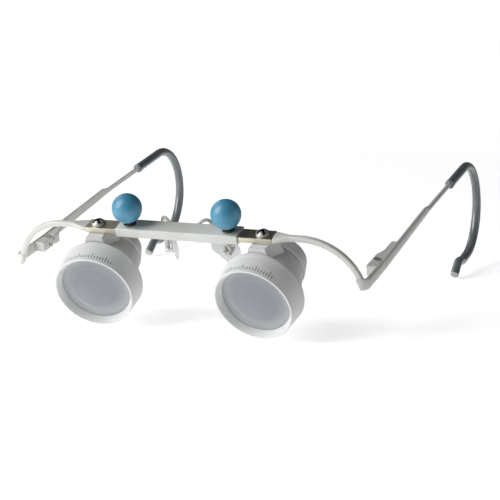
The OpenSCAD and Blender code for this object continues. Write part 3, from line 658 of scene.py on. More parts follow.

# %% [markdown]
# ## The list of plain finishes
# With the recipes at hand, a finish is a row of values. Roughness has two: one for untouched places or
# the floor of a brushed line, and one for touched places or its crest. The depth of the grain is in
# metres.

# %% The list of plain finishes
# A dark colour painted into the screws' recesses as shade.
RECESS_PAINTED_SHADE = (0.02, 0.018, 0.015)
BARREL = {
    "light": (0.750, 0.755, 0.745), "dark": (0.715, 0.720, 0.710),
    "grain": 4500.0, "roughness": (0.52, 0.60), "depth": 4e-6
}
PAINTS = {
    "frame_paint": {
        "light": (0.69, 0.70, 0.665), "dark": (0.65, 0.66, 0.625),
        "grain": 3000.0, "roughness": (0.40, 0.50), "depth": 4e-6, "Coat_Weight": 0.35, "Coat_Roughness": 0.12
    },
    "barrel_white": {**BARREL, "edge": EDGE_ROUND},
    "knob_blue": {
        "light": (0.062, 0.290, 0.455), "dark": (0.052, 0.255, 0.405),
        "grain": 2600.0, "roughness": (0.42, 0.52), "depth": 3e-6, "Coat_Weight": 0.6, "Coat_Roughness": 0.35
    },
    "collar_dark": {
        "light": (0.16, 0.145, 0.12), "dark": (0.11, 0.10, 0.085),
        "grain": 5000.0, "roughness": (0.20, 0.32), "depth": 3e-6, "Metallic": 1.0
    },
    "lock_black": {
        "light": (0.050, 0.052, 0.055), "dark": (0.030, 0.031, 0.033),
        "grain": 5000.0, "roughness": (0.55, 0.70), "depth": 3e-6, "edge": EDGE_ROUND
    },
    "pad_wire": {
        "light": (0.84, 0.84, 0.82), "dark": (0.78, 0.78, 0.76),
        "grain": 6000.0, "roughness": (0.36, 0.48), "depth": 2e-6, "edge": EDGE_ROUND, "Metallic": 0.5
    }
}
METALS = {
    "champagne_metal": {
        "light": (0.75, 0.69, 0.57), "dark": (0.64, 0.585, 0.48),
        "stretch": (0.03, 1.0, 1.0), "line_scale": 9000.0, "roughness": (0.30, 0.46), "depth": 3e-6
    },
    "clamp_brass": {
        "light": (0.42, 0.34, 0.21), "dark": (0.32, 0.26, 0.16),
        "stretch": (1.0, 1.0, 0.05), "line_scale": 7000.0, "roughness": (0.28, 0.42), "depth": 3e-6
    },
    "screw_steel": {
        "light": (0.54, 0.53, 0.51), "dark": (0.46, 0.45, 0.43),
        "stretch": (1.0, 1.0, 0.2), "line_scale": 6000.0, "roughness": (0.46, 0.58), "depth": 2e-6,
        # Its recesses take painted shade.
        "dirt": RECESS_PAINTED_SHADE
    }
}

for name, values in PAINTS.items():
    looks[name] = coated(name, **values)[0]
for name, values in METALS.items():
    looks[name] = metal(name, **values)
print("plain finishes:", sorted(looks))

# %% [markdown]
# ## The sleeve's rubber, with its cut end
# The ear sleeve is a length of dark soft tube. At the tip of the hook the tube is cut off, and the cut
# face is paler than the skin. The sleeve's UV holds the distance along the tube, so the last bit can take
# the pale colour. A second material on the end face would do as well, but this keeps the sleeve to one.

# %% The sleeve's rubber
SLEEVE_RUBBER = {
    "light": (0.160, 0.180, 0.190), "dark": (0.125, 0.141, 0.149),
    "grain": 3500.0, "roughness": (0.30, 0.40), "depth": 4e-6, "Coat_Weight": 1.0, "Coat_Roughness": 0.16
}
CUT_GREY = (0.42, 0.43, 0.43)
CUT_BLEND = 0.7


def sleeve_look(total_length, cut_length):
    """Dark rubber whose last `cut_length` millimetres, the end face, are pale."""
    look, tree, shader, coords, colour = coated("sleeve_grey", **SLEEVE_RUBBER)
    length = part_of(tree, coords["UV"], "Y")
    at_cut = spread(tree, length, total_length - cut_length, total_length - CUT_BLEND * cut_length)
    tree.links.new(mixed(tree, at_cut, colour, CUT_GREY), shader.inputs["Base Color"])
    return look


print("rubber and cut colours:", SLEEVE_RUBBER["dark"], CUT_GREY)

# %% [markdown]
# ## The front lens's glass
# The front lens looks milky grey in the light of the studio, because the coatings on several lenses
# behind each other throw some of it back. So the glass is only partly transparent. Its colour carries
# painted reflections: faint rings that grow paler with the distance from the middle stand in for the
# lenses behind it, and outside a disc that lies a little off the middle a painted pale glint covers it.
# Modelling every coated lens inside the telescope would be the long way to this look.

# %% The front lens's glass
LENS_RADIUS = 13.5
# Painted reflections of the lenses behind: colours by the share of the lens radius.
PAINTED_LENS_RINGS = {
    0.00: (0.335, 0.360, 0.388), 0.30: (0.330, 0.356, 0.384), 0.36: (0.345, 0.370, 0.398),
    0.58: (0.350, 0.375, 0.404), 0.66: (0.396, 0.420, 0.448), 0.78: (0.410, 0.434, 0.462),
    0.86: (0.480, 0.500, 0.525), 0.97: (0.530, 0.550, 0.570)
}
# A painted pale glint, laid outside the off-centre disc.
PAINTED_LENS_GLINT = (0.640, 0.662, 0.690)
PAINTED_GLINT_SHARE = 0.6
DISC_MIDDLE = (0.5, -1.4, 0.0)
DISC_EDGE = (8.8, 13.4)
LENS_TOUCH_SCALE = 110.0
LENS_ROUGHNESS = (0.10, 0.22)

front_glass_painted_reflections, tree, shader, coords = new_look(
    "front_glass_painted_reflections", Transmission_Weight=0.35, IOR=1.5, Coat_Weight=0.4, Coat_Roughness=0.05
)
share = sums(tree, "DIVIDE", measured(tree, "LENGTH", coords["UV"]), LENS_RADIUS)
# Painted reflections: rings of colour by the distance from the middle.
ramp = add(tree, "ShaderNodeValToRGB", {"Fac": share})
ramp.color_ramp.interpolation = "EASE"
for position in list(PAINTED_LENS_RINGS)[1:-1]:
    ramp.color_ramp.elements.new(position)
for element, (position, colour) in zip(ramp.color_ramp.elements, PAINTED_LENS_RINGS.items()):
    element.position = position
    element.color = opaque(colour)
off_disc = measured(tree, "DISTANCE", coords["UV"], DISC_MIDDLE)
# Painted glint: paler outside a disc a little off the middle.
painted_glint = between(tree, spread(tree, off_disc, *DISC_EDGE), 0.0, PAINTED_GLINT_SHARE)
tree.links.new(mixed(tree, painted_glint, ramp.outputs["Color"], PAINTED_LENS_GLINT), shader.inputs["Base Color"])
touched = group_in(tree, handling_group, {"Vector": coords["Object"], "Scale": LENS_TOUCH_SCALE})["Touched"]
tree.links.new(between(tree, touched, *LENS_ROUGHNESS), shader.inputs["Roughness"])
print("lens ring colours:", len(PAINTED_LENS_RINGS))

# %% [markdown]
# ## Clear glass and silicone
# The eyepiece lenses are plain clear glass. The nose pads are clear silicone: nearly invisible where you
# look straight at them, and whiter where you look along their skin, so their rims show. A Layer Weight
# node gives that angle, and drives the alpha.

# %% Clear glass and silicone
PAD_ALPHA = (0.28, 0.92)
PAD_GRAIN_DEPTH = 4e-6


def clear(name, dark, light, grain, patch, roughness, **inputs):
    """Clear glass or silicone: two pale shades in patches, and a roughness that follows them."""
    look, tree, shader, coords = new_look(name, **inputs)
    on_skin = {"Vector": coords["Object"], "Grain Scale": grain, "Patch Scale": patch}
    skin = group_in(tree, skin_group, on_skin)
    tree.links.new(mixed(tree, skin["Patches"], dark, light), shader.inputs["Base Color"])
    tree.links.new(between(tree, skin["Patches"], *roughness), shader.inputs["Roughness"])
    return look, tree, shader, skin


looks["lens_glass"] = clear(
    "lens_glass", dark=(0.80, 0.84, 0.86), light=(0.88, 0.91, 0.92), grain=2000.0, patch=120.0,
    roughness=(0.02, 0.08), Transmission_Weight=0.9, IOR=1.5
)[0]
looks["pad_clear"], tree, shader, skin = clear(
    "pad_clear", dark=(0.80, 0.82, 0.82), light=(0.88, 0.90, 0.90), grain=2500.0, patch=200.0,
    roughness=(0.14, 0.26), IOR=1.41, Coat_Weight=0.3
)
grazing = tree.nodes.new("ShaderNodeLayerWeight").outputs["Facing"]
tree.links.new(between(tree, grazing, *PAD_ALPHA), shader.inputs["Alpha"])
bumped(tree, shader, skin["Grain"], PAD_GRAIN_DEPTH)
print("all finishes but the sleeve's:", len(looks))

# %% [markdown]
# ## The bridge channel
# The channel is a flat tube of folded metal, open at both ends, in which the two plates slide. Its wall
# has a rounded outside and a narrow inside. One parameter goes round the tube, the other round the wall's
# own section: along the outside, over the rounded end, and back along the inside. A Boolean cut through a
# box would leave sharp ends.

# %% The bridge channel
CHANNEL_LENGTH = 47.5
CHANNEL_DEPTH = 7.7
CHANNEL_HEIGHT = 3.5
CHANNEL_WALL = 0.7
CHANNEL_CORNER = 0.5
CHANNEL_LIP = 0.2
LEAST_CORNER = 0.1


def flat_tube(length, depth, height, wall, corner, lip):
    """A rounded rectangular tube along X.

    The wall's section is a rounded rectangle of [x, inset]. For each inset the tube's outline is a
    rectangle with corners of radius `corner` minus the inset, drawn as four arcs that are joined by
    straight sides.
    """
    half = length / 2.0
    section = rounded([[-half, 0.0], [half, 0.0], [half, wall], [-half, wall]], lip)
    x, inset = section.T
    arc = np.linspace(0.0, np.pi / 2.0, ROUND_STEPS)
    angle = (np.arange(4)[:, None] * np.pi / 2.0 + arc).ravel()
    angle = np.append(angle, 2.0 * np.pi)
    quarter = np.append(np.repeat(np.arange(4), ROUND_STEPS), 0)
    front_or_back = np.array([1, -1, -1, 1])[quarter]
    top_or_bottom = np.array([1, 1, -1, -1])[quarter]
    radius = np.maximum(corner - inset, LEAST_CORNER)
    y = front_or_back[:, None] * (depth / 2.0 - inset - radius) + np.cos(angle)[:, None] * radius
    z = top_or_bottom[:, None] * (height / 2.0 - inset - radius) + np.sin(angle)[:, None] * radius
    grid = np.stack([np.broadcast_to(x, y.shape), y, z], axis=-1)
    around = np.broadcast_to(angle[:, None], y.shape)
    along = np.broadcast_to(lengths_along(section), y.shape)
    return grid, np.stack([around, along], axis=-1)


channel = flat_tube(CHANNEL_LENGTH, CHANNEL_DEPTH, CHANNEL_HEIGHT, CHANNEL_WALL, CHANNEL_CORNER, CHANNEL_LIP)
make_piece("bridge_channel", [channel], bridge_frame, SIDES["right"])
print("bridge channel faces:", len(made_pieces[-1].data.polygons))

# %% [markdown]
# ## The clamp knobs
# A blue ball turns the clamp screw. It is a sphere with a small flat underneath, so its profile is an arc
# that starts at the edge of the flat and ends on the axis at the top. A UV sphere would need its flat cut
# afterwards. The collar below it and the nut under the channel are rings: closed profiles that go round
# the axis.

# %% The clamp knobs
KNOB_X = 19.3
BALL_RADIUS = 5.5
BALL_HEIGHT = 8.25
BALL_FLAT = 0.3
BALL_STEPS = 48
COLLAR = ((1.2, 1.8), (2.3, 1.8), (2.3, 2.4), (1.2, 2.4))
COLLAR_ROUND = 0.15
NUT = ((1.25, -3.05), (2.1, -3.05), (2.1, -1.75), (1.25, -1.75))
NUT_ROUND = (0.3, 0.3, 0.1, 0.1)

lowest = np.arcsin((BALL_FLAT - BALL_RADIUS) / BALL_RADIUS)
latitude = np.linspace(lowest, np.pi / 2.0, BALL_STEPS)
ball_arc = BALL_RADIUS * np.column_stack([np.cos(latitude), np.sin(latitude)])
ball_arc[-1, 0] = 0.0
ball_profile = np.vstack([[0.0, ball_arc[0, 1]], ball_arc]) + [0.0, BALL_HEIGHT]
knob_frame = bridge_frame @ shifted(KNOB_X, 0.0, 0.0)
make_pair("clamp_ball", [lathe(ball_profile)], knob_frame)
make_pair("clamp_collar", [lathe(rounded(COLLAR, COLLAR_ROUND))], knob_frame)
make_pair("clamp_nut", [lathe(rounded(NUT, NUT_ROUND))], knob_frame)

# %% [markdown]
# ## The mount screws
# A cross-headed screw hangs each telescope from its plate. Its head is a dome on a short edge, with a
# deep cross for the driver. The screw is turned like the other round pieces, with many rows on the dome.
# Then every point of the dome sinks by a depth that depends on its distance from the two bars of the
# cross, which leaves softer edges than a Boolean cut. The UV keeps that depth, so that the finish can
# paint shade into the recess: the deeper, the darker.

# %% The mount screws
SHANK_RADIUS = 1.25
SHANK_END = -3.45
HEAD_RADIUS = 2.5
HEAD_LOW = 1.05
HEAD_EDGE = 0.6
HEAD_HEIGHT = 2.0
DOME_STEPS = 60
CROSS_HALF_WIDTH = 0.62
CROSS_HALF_LENGTH = 2.1
CROSS_DEPTH = 1.0
CROSS_WALL = 0.18


def eased(value, low, high):
    """0 below low, 1 above high, and a smooth S between them: three times the square less twice the cube."""
    share = np.clip((value - low) / (high - low), 0.0, 1.0)
    return share * share * (3.0 - 2.0 * share)


def cross_recess(x, y):
    """The depth of a cross at each point.

    Turned by 45 degrees, the cross is two bars. The distance inside a bar is the smaller one of the
    distances from its side and from its end, and the larger of the two bars' distances counts. Over the
    width of the wall the depth grows smoothly from nothing to its full value.
    """
    along = np.abs(x + y) / np.sqrt(2.0)
    across = np.abs(x - y) / np.sqrt(2.0)
    first = np.minimum(CROSS_HALF_WIDTH - across, CROSS_HALF_LENGTH - along)
    second = np.minimum(CROSS_HALF_WIDTH - along, CROSS_HALF_LENGTH - across)
    return CROSS_DEPTH * eased(np.maximum(first, second), 0.0, CROSS_WALL)


dome_rise = HEAD_HEIGHT - HEAD_EDGE
dome_curve = (HEAD_RADIUS**2 + dome_rise**2) / (2.0 * dome_rise)
dome_out = np.linspace(HEAD_RADIUS, 0.0, DOME_STEPS)
dome_up = HEAD_LOW + HEAD_HEIGHT - dome_curve + np.sqrt(dome_curve**2 - dome_out**2)
stem = [[0.0, SHANK_END], [SHANK_RADIUS, SHANK_END], [SHANK_RADIUS, HEAD_LOW], [HEAD_RADIUS, HEAD_LOW]]
screw_grid, screw_uv = lathe(np.vstack([stem, np.column_stack([dome_out, dome_up])]))
sunk = cross_recess(screw_grid[..., 0], screw_grid[..., 1])
sunk[:, : len(stem)] = 0.0
screw_grid = screw_grid - sunk[..., None] * np.array([0.0, 0.0, 1.0])
screw_uv = np.stack([screw_uv[..., 0], sunk], axis=-1)
make_pair("mount_screw", [(screw_grid, screw_uv)], bridge_frame @ shifted(mount_x, 0.0, 0.0))

# %% [markdown]
# ## The telescopes
# Each telescope is a row of turned pieces: a front ring with a sloped mouth, a conical body and an
# eyepiece that screws on behind. Their profiles are rings of [radius, distance behind the front rim]. A
# shallow groove near the back of the front ring marks where it unscrews. The ring carries a plain row of
# marks, which the UV puts on the upper side: turn 0.75 is the top.

# %% The telescopes
FRONT_RING = (
    (14.25, 0.0), (14.9, 0.0), (15.62, 7.45), (15.5, 7.6), (15.65, 7.75), (15.8, 9.3), (15.45, 10.1),
    (13.7, 10.1), (13.7, 7.7), (13.5, 7.7), (13.5, 3.0), (13.1, 3.0), (13.1, 2.6)
)
FRONT_RING_ROUND = (0.25, 0.3, 0.06, 0.06, 0.06, 0.5, 0.3, 0.05, 0.05, 0.05, 0.05, 0.05, 0.1)
BODY = (
    (12.1, 7.7), (13.7, 7.7), (13.7, 10.1), (14.1, 10.1), (9.75, 22.2), (9.0, 22.2), (9.0, 24.3), (7.4, 24.3),
    (7.4, 21.6)
)
BODY_ROUND = (0.1, 0.1, 0.1, 0.3, 0.2, 0.1, 0.1, 0.1, 0.1)
EYEPIECE = (
    (9.02, 22.95), (10.1, 22.95), (10.1, 24.0), (8.4, 29.7), (8.0, 29.7), (7.22, 28.1), (7.62, 28.1),
    (7.62, 24.3), (9.02, 24.3)
)
EYEPIECE_ROUND = (0.1, 0.25, 0.6, 0.2, 0.15, 0.1, 0.05, 0.05, 0.05)
INK = (0.13, 0.15, 0.14)
TICKS = {
    "First": 0.64, "Last": 0.86, "Count": 90.0, "Half Width": 0.14, "Near": 2.0, "Short": 3.4, "Extra": 0.9
}

ring_look, tree, shader, coords, colour = coated("barrel_scale", **BARREL)
mark = group_in(tree, tick_group, {"UV": coords["UV"], **TICKS})["Mark"]
tree.links.new(mixed(tree, mark, colour, INK), shader.inputs["Base Color"])
make_pair("front_ring", [lathe(rounded(FRONT_RING, FRONT_RING_ROUND))], optic_frame, ring_look)
make_pair("barrel_body", [lathe(rounded(BODY, BODY_ROUND))], optic_frame)
make_pair("eyepiece_ring", [lathe(rounded(EYEPIECE, EYEPIECE_ROUND))], optic_frame)

# %% [markdown]
# ## The front lenses
# The front lens bulges forward a little: its face is a part of a large sphere, and its back is flat. The
# UV is the plan in millimetres. It is mirrored together with the left lens, so that both show the same
# painted disc and glint, as the light falls on both from the same side.

# %% The front lenses
LENS_FRONT = 3.0
LENS_BACK = 5.2
LENS_CLEAR = 13.1
LENS_CURVE = 70.0
LENS_STEPS = 40

across_lens = np.linspace(0.0, LENS_CLEAR, LENS_STEPS)
bulge = np.sqrt(LENS_CURVE**2 - across_lens**2) - np.sqrt(LENS_CURVE**2 - LENS_CLEAR**2)
lens_face = np.column_stack([across_lens, LENS_FRONT - bulge])
lens_back = [[LENS_RADIUS, LENS_FRONT], [LENS_RADIUS, LENS_BACK], [0.0, LENS_BACK]]
lens_grid, _ = lathe(np.vstack([lens_face, lens_back]))
for side, sign in SIDES.items():
    lens_plan = lens_grid[..., :2] * np.array([sign, 1.0])
    make_piece(f"front_lens_{side}", [(lens_grid, lens_plan)], optic_frame, sign, front_glass_painted_reflections)
print("bulge of the front lens in millimetres:", round(bulge[0], 2))

# %% [markdown]
# ## The brow arms
# The painted arm starts as wide as the plate that it is fixed to. It narrows to a bar, runs level over
# the brow, bends down and ends behind the corner of the frame. Its path lies in the bridge's XZ plane: a
# level part, an arc, and a straight part. The width, the height and the lift change smoothly over the
# first few millimetres.

# %% The brow arms
SLIDER_END = 36.4
ARM_TAPER = 7.0
ARM_LIFT = 0.6
ARM_FORWARD = 0.6
ARM_HALF_DEPTH = 1.0
ARM_HALF_HEIGHT = 1.1
PLATE_HALF_DEPTH = 3.1
PLATE_HALF_HEIGHT = 1.0
ARM_BEND_START = 46.5
ARM_BEND_RADIUS = 21.0
ARM_BEND = np.radians(70.5)
ARM_END_X = 67.6
ARM_EDGE = 0.25
ARM_LEVEL_STEPS = 24
ARM_BEND_STEPS = 30
ARM_DROP_STEPS = 6

backwards = np.array([0.0, 1.0, 0.0])
arm_level = np.linspace(SLIDER_END + ARM_EDGE, ARM_BEND_START, ARM_LEVEL_STEPS)[:-1]
arm_turn = np.linspace(0.0, ARM_BEND, ARM_BEND_STEPS)
arm_arc_x = ARM_BEND_START + ARM_BEND_RADIUS * np.sin(arm_turn)
arm_drop_x = np.linspace(arm_arc_x[-1], ARM_END_X, ARM_DROP_STEPS)[1:]
arm_x = np.concatenate([arm_level, arm_arc_x, arm_drop_x])
arm_slope = np.concatenate([0.0 * arm_level, arm_turn, np.full(len(arm_drop_x), ARM_BEND)])
past_arc = np.maximum(arm_x - arm_arc_x[-1], 0.0)
arm_fall = ARM_BEND_RADIUS * (1.0 - np.cos(arm_slope)) + past_arc * np.tan(ARM_BEND)
narrowing = eased(arm_x, SLIDER_END, SLIDER_END + ARM_TAPER)
arm_path = np.column_stack([arm_x, -ARM_FORWARD * narrowing, ARM_LIFT * narrowing - arm_fall])
arm_half_depth = PLATE_HALF_DEPTH + (ARM_HALF_DEPTH - PLATE_HALF_DEPTH) * narrowing
arm_half_height = PLATE_HALF_HEIGHT + (ARM_HALF_HEIGHT - PLATE_HALF_HEIGHT) * narrowing
arm_over = np.column_stack([np.sin(arm_slope), 0.0 * arm_x, np.cos(arm_slope)])
arm = sweep(arm_path, backwards, arm_over, arm_half_depth, arm_half_height, bar_section, ARM_EDGE)
make_pair("brow_arm", [arm], bridge_frame)

# %% [markdown]
# ## The corners
# A strip of metal is bent round the corner of the frame and ends at the hinge. It is flat inside and
# slightly domed outside. Seen from above its path is a short leg, a quarter circle and a long leg, and
# its lower edge is cut off at a slant where it starts. A sweep keeps the section upright all the way
# round.

# %% The corners
STRIP_HALF = 0.65
STRIP_MIDDLE = 2.75
STRIP_EDGE = 0.15
CORNER_CENTRE = (-0.1, -17.2)
CORNER_RADIUS = 2.85
CORNER_LEG = 0.8
CORNER_CUT = 3.0
CORNER_CUT_LENGTH = 1.2
CORNER_HALF_HEIGHT = 2.1
CORNER_BEND_STEPS = 16
FRONT_LEG_STEPS = 8
SIDE_LEG_STEPS = 12
HINGE_SPLIT = 0.15

upright = np.array([0.0, 0.0, 1.0])
bend = np.linspace(-np.pi / 2.0, 0.0, CORNER_BEND_STEPS)
corner_bend = CORNER_CENTRE + CORNER_RADIUS * np.column_stack([np.cos(bend), np.sin(bend)])
front_leg = np.linspace(STRIP_EDGE - CORNER_LEG, 0.0, FRONT_LEG_STEPS)[:-1]
front_plan = corner_bend[0] + np.column_stack([front_leg, 0.0 * front_leg])
side_leg = np.linspace(CORNER_CENTRE[1], -HINGE_SPLIT - STRIP_EDGE, SIDE_LEG_STEPS)[1:]
side_plan = np.column_stack([np.full(len(side_leg), STRIP_MIDDLE), side_leg])
corner_plan = np.vstack([front_plan, corner_bend, side_plan])
facing = np.concatenate([np.full(len(front_leg), -np.pi / 2.0), bend, np.zeros(len(side_leg))])
cut_share = np.clip(1.0 - lengths_along(corner_plan) / CORNER_CUT_LENGTH, 0.0, 1.0)
corner_rise = CORNER_CUT * cut_share / 2.0
corner_path = np.column_stack([corner_plan, corner_rise])
corner_out = np.column_stack([np.cos(facing), np.sin(facing), 0.0 * facing])
corner_half_height = CORNER_HALF_HEIGHT - corner_rise
corner = sweep(corner_path, corner_out, upright, STRIP_HALF, corner_half_height, strip_section, STRIP_EDGE)
make_pair("end_piece", [corner], hinge_frame)

# %% [markdown]
# ## The temples
# Behind the hinge the same strip goes on as the temple. It narrows slowly, and at its end both edges step
# to a wire. The path is straight seen from above, so only the middle and the height of the section change
# along it.

# %% The temples
STRIP_END = 53.0
WIRE_START = 57.0
SLEEVE_START = 86.5
STEP_SOFT = 1.0
STRIP_TOP = (2.1, 3.4)
STRIP_BOTTOM = (-2.1, 0.2)
WIRE_TOP = 2.3
WIRE_BOTTOM = 0.5
TEMPLE_STEPS = 160

sideways = np.array([1.0, 0.0, 0.0])
temple_y = np.linspace(HINGE_SPLIT + STRIP_EDGE, SLEEVE_START, TEMPLE_STEPS)
strip_top = np.interp(temple_y, (HINGE_SPLIT, STRIP_END), STRIP_TOP)
strip_bottom = np.interp(temple_y, (HINGE_SPLIT, STRIP_END), STRIP_BOTTOM)
step = eased(temple_y, STRIP_END - STEP_SOFT, WIRE_START + STEP_SOFT)
temple_top = strip_top + (WIRE_TOP - strip_top) * step
temple_bottom = strip_bottom + (WIRE_BOTTOM - strip_bottom) * step
temple_middle = (temple_top + temple_bottom) / 2.0
temple_half_height = (temple_top - temple_bottom) / 2.0
temple_path = np.column_stack([np.full(len(temple_y), STRIP_MIDDLE), temple_y, temple_middle])
temple = sweep(temple_path, sideways, upright, STRIP_HALF, temple_half_height, strip_section, STRIP_EDGE)
make_pair("temple_bar", [temple], hinge_frame)

# %% [markdown]
# ## The hinges
# The front leaf is a block on the strip with two knuckles, and the temple's leaf has one tongue between
# them, a block and a long fin that stiffens the temple. All of them are flat pieces with rounded edges,
# which overlap inside and so need no joining. A knuckle's outline is a rectangle whose far corners are
# rounded as far as they go.

# %% The hinges
KNUCKLE = 1.8
KNUCKLE_REACH = 2.7
KNUCKLE_ROUND = (0.3, 0.3, 1.79, 1.79)
LEAF_HALF = 1.9
LEAF_EDGE = 0.2
TONGUE_HALF = 0.55
TONGUE_SPACE = 0.6
STRIP_INSIDE = 2.1
FRONT_BLOCK = (-6.5, -2.5)
TEMPLE_BLOCK = (2.5, 6.1)
BLOCK_ROUND = 0.4
FIN = ((-1.8, 5.6), (2.1, 5.6), (2.1, 19.1), (-0.3, 19.1), (-0.3, 9.3))
FIN_ROUND = (0.3, 0.3, 0.3, 0.5, 1.0)
HALF_TURN = (-1.0, -1.0, 1.0)


def knuckle(low, high):
    """A knuckle round the hinge's axis that reaches forward to the front leaf's block.

    After half a turn about the axis it reaches back, as the temple leaf's tongue does.
    """
    corners = [
        [-KNUCKLE, -KNUCKLE_REACH], [KNUCKLE, -KNUCKLE_REACH], [KNUCKLE, KNUCKLE], [-KNUCKLE, KNUCKLE]
    ]
    return plate(rounded(corners, KNUCKLE_ROUND), low, high, LEAF_EDGE)


def block(near, far):
    """A block on the inside of the strip, from near to far along it."""
    corners = [[-KNUCKLE, near], [STRIP_INSIDE, near], [STRIP_INSIDE, far], [-KNUCKLE, far]]
    return plate(rounded(corners, BLOCK_ROUND), -LEAF_HALF, LEAF_HALF, LEAF_EDGE)


upper_knuckle = knuckle(TONGUE_SPACE, LEAF_HALF)
lower_knuckle = knuckle(-LEAF_HALF, -TONGUE_SPACE)
make_pair("front_leaf", [block(*FRONT_BLOCK), upper_knuckle, lower_knuckle], hinge_frame)

tongue_grid, tongue_uv = knuckle(-TONGUE_HALF, TONGUE_HALF)
tongue = (tongue_grid * HALF_TURN, tongue_uv)
fin = plate(rounded(FIN, FIN_ROUND), TONGUE_SPACE, LEAF_HALF, LEAF_EDGE)
make_pair("temple_leaf", [tongue, block(*TEMPLE_BLOCK), fin], hinge_frame)

# %% [markdown]
# ## The ear sleeves
# Behind the strip a soft sleeve forms the hook that goes round the ear. Its path is known by its
# curvature: straight, a half circle, and two small bends in the tail. The direction at each distance
# comes from that list, and adding up small steps in that direction gives the path. The sleeve starts with
# a thicker lip, is a little wider on the drop and ends in a flat cut.

# %% The ear sleeves
WIRE_Z = 1.4
SLEEVE_RADIUS = 1.75
SLEEVE_LIP = 0.12
LIP_FADE = (1.0, 1.6)
SLEEVE_EDGE = 0.35
HOOK_WIDER = 0.12
WIDER_FROM = (45.0, 62.0)
WIDER_UNTIL = (78.0, 88.0)
STRAIGHT_RUN = 20.5
HOOK_RADIUS = 19.0
RETURN_RUN = 5.6
TAIL_RADIUS = 6.0
TAIL_BEND = np.radians(28.0)
TAIL_RUN = 5.0
HOOK_STEPS = 700
HOOK_STRIDE = 2

hook_turns = [0.0, np.pi, 0.0, TAIL_BEND, -2.0 * TAIL_BEND, 0.0]
tail_arc = TAIL_RADIUS * TAIL_BEND
hook_runs = [STRAIGHT_RUN, HOOK_RADIUS * np.pi, RETURN_RUN, tail_arc, 2.0 * tail_arc, TAIL_RUN]
marks = np.concatenate([[0.0], np.cumsum(hook_runs)])
headings = np.concatenate([[0.0], np.cumsum(hook_turns)])
distance = np.linspace(0.0, marks[-1], HOOK_STEPS)
heading = np.interp(distance, marks, headings)
step_length = distance[1] - distance[0]
mid_heading = (heading[1:] + heading[:-1]) / 2.0
hook_y = SLEEVE_START + np.concatenate([[0.0], np.cumsum(np.cos(mid_heading)) * step_length])
hook_z = WIRE_Z - np.concatenate([[0.0], np.cumsum(np.sin(mid_heading)) * step_length])
hook_path = np.column_stack([np.full(HOOK_STEPS, STRIP_MIDDLE), hook_y, hook_z])[::HOOK_STRIDE]
hook_over = np.column_stack([np.zeros(HOOK_STEPS), np.sin(heading), np.cos(heading)])[::HOOK_STRIDE]
along_hook = distance[::HOOK_STRIDE]
half_height = SLEEVE_RADIUS + SLEEVE_LIP * (1.0 - eased(along_hook, *LIP_FADE))
wider = HOOK_WIDER * eased(along_hook, *WIDER_FROM) * (1.0 - eased(along_hook, *WIDER_UNTIL))
sleeve = sweep(hook_path, sideways, hook_over, half_height + wider, half_height, round_section, SLEEVE_EDGE)
sleeve_length = sleeve[1][..., 1].max()
looks["sleeve_grey"] = sleeve_look(sleeve_length, SLEEVE_EDGE)
make_pair("ear_sleeve", [sleeve], hinge_frame)
print("length of the sleeve in millimetres:", round(sleeve_length, 1))

# %% [markdown]
# ## The nose pads' arms
# A bent wire leaves the back of the channel, goes over an arch and runs down to an eye, where the pad
# rocks on a pin. The wire's path is a straight part, an arc and a straight part. A running mean over the
# points smooths it where they meet, as a bending tool would. The root is cut flat where it meets the
# channel.

# %% The nose pads' arms
PAD_ROOT = np.array([4.6, 3.85, 0.0])
ROOT_SINK = 1.6
ROOT_FACE = 3.35
PAD_HEADING = np.radians(60.0)
PAD_RISE = np.radians(35.0)
PAD_FALL = np.radians(-65.0)
PAD_SLANT = 3.0
PAD_ARCH = 2.2
PIN_OFFSET = 1.9
WIRE_RADIUS = 0.65
WIRE_EDGE = 0.1
WIRE_SIDE = (0.3, -0.9, 0.2)
SLANT_STEPS = 18
ARCH_STEPS = 24
RUN_STEPS = 60
SMOOTHING = 15
EYE = ((0.45, -1.1), (1.0, -1.1), (1.0, 1.1), (0.45, 1.1))
EYE_ROUND = 0.12

eye_in_bridge = np.linalg.inv(bridge_frame) @ pad_frame @ shifted(PIN_OFFSET, 0.0, 0.0)
slant = np.linspace(-ROOT_SINK, PAD_SLANT, SLANT_STEPS)[:-1]
slope = np.linspace(PAD_RISE, PAD_FALL, ARCH_STEPS)
arch_reach = PAD_SLANT * np.cos(PAD_RISE) + PAD_ARCH * (np.sin(PAD_RISE) - np.sin(slope))
arch_rise = PAD_SLANT * np.sin(PAD_RISE) + PAD_ARCH * (np.cos(slope) - np.cos(PAD_RISE))
reach = np.concatenate([slant * np.cos(PAD_RISE), arch_reach])
rise = np.concatenate([slant * np.sin(PAD_RISE), arch_rise])
arch = PAD_ROOT + np.column_stack([reach * np.sin(PAD_HEADING), reach * np.cos(PAD_HEADING), rise])
run = arch[-1] + np.outer(np.linspace(0.0, 1.0, RUN_STEPS)[1:], eye_in_bridge[:3, 3] - arch[-1])
beside = SMOOTHING // 2
padded = np.pad(np.vstack([arch, run]), ((beside, beside), (0, 0)), "reflect", reflect_type="odd")
running_mean = np.ones(SMOOTHING) / SMOOTHING
wire_path = np.column_stack([np.convolve(column, running_mean, "valid") for column in padded.T])
wire_ahead = unit(np.gradient(wire_path, axis=0))
wire_across = unit(np.cross(wire_ahead, WIRE_SIDE))
wire_over = np.cross(wire_across, wire_ahead)
wire_grid, wire_uv = sweep(
    wire_path, wire_across, wire_over, WIRE_RADIUS, WIRE_RADIUS, round_section, WIRE_EDGE
)
wire_grid[..., 1] = np.maximum(wire_grid[..., 1], ROOT_FACE)
eye_grid, eye_uv = lathe(rounded(EYE, EYE_ROUND))
eye_ring = (moved(eye_grid, eye_in_bridge @ turned(QUARTER_TURN, "X")), eye_uv)
make_pair("pad_arm", [(wire_grid, wire_uv), eye_ring], bridge_frame, looks["frame_paint"])

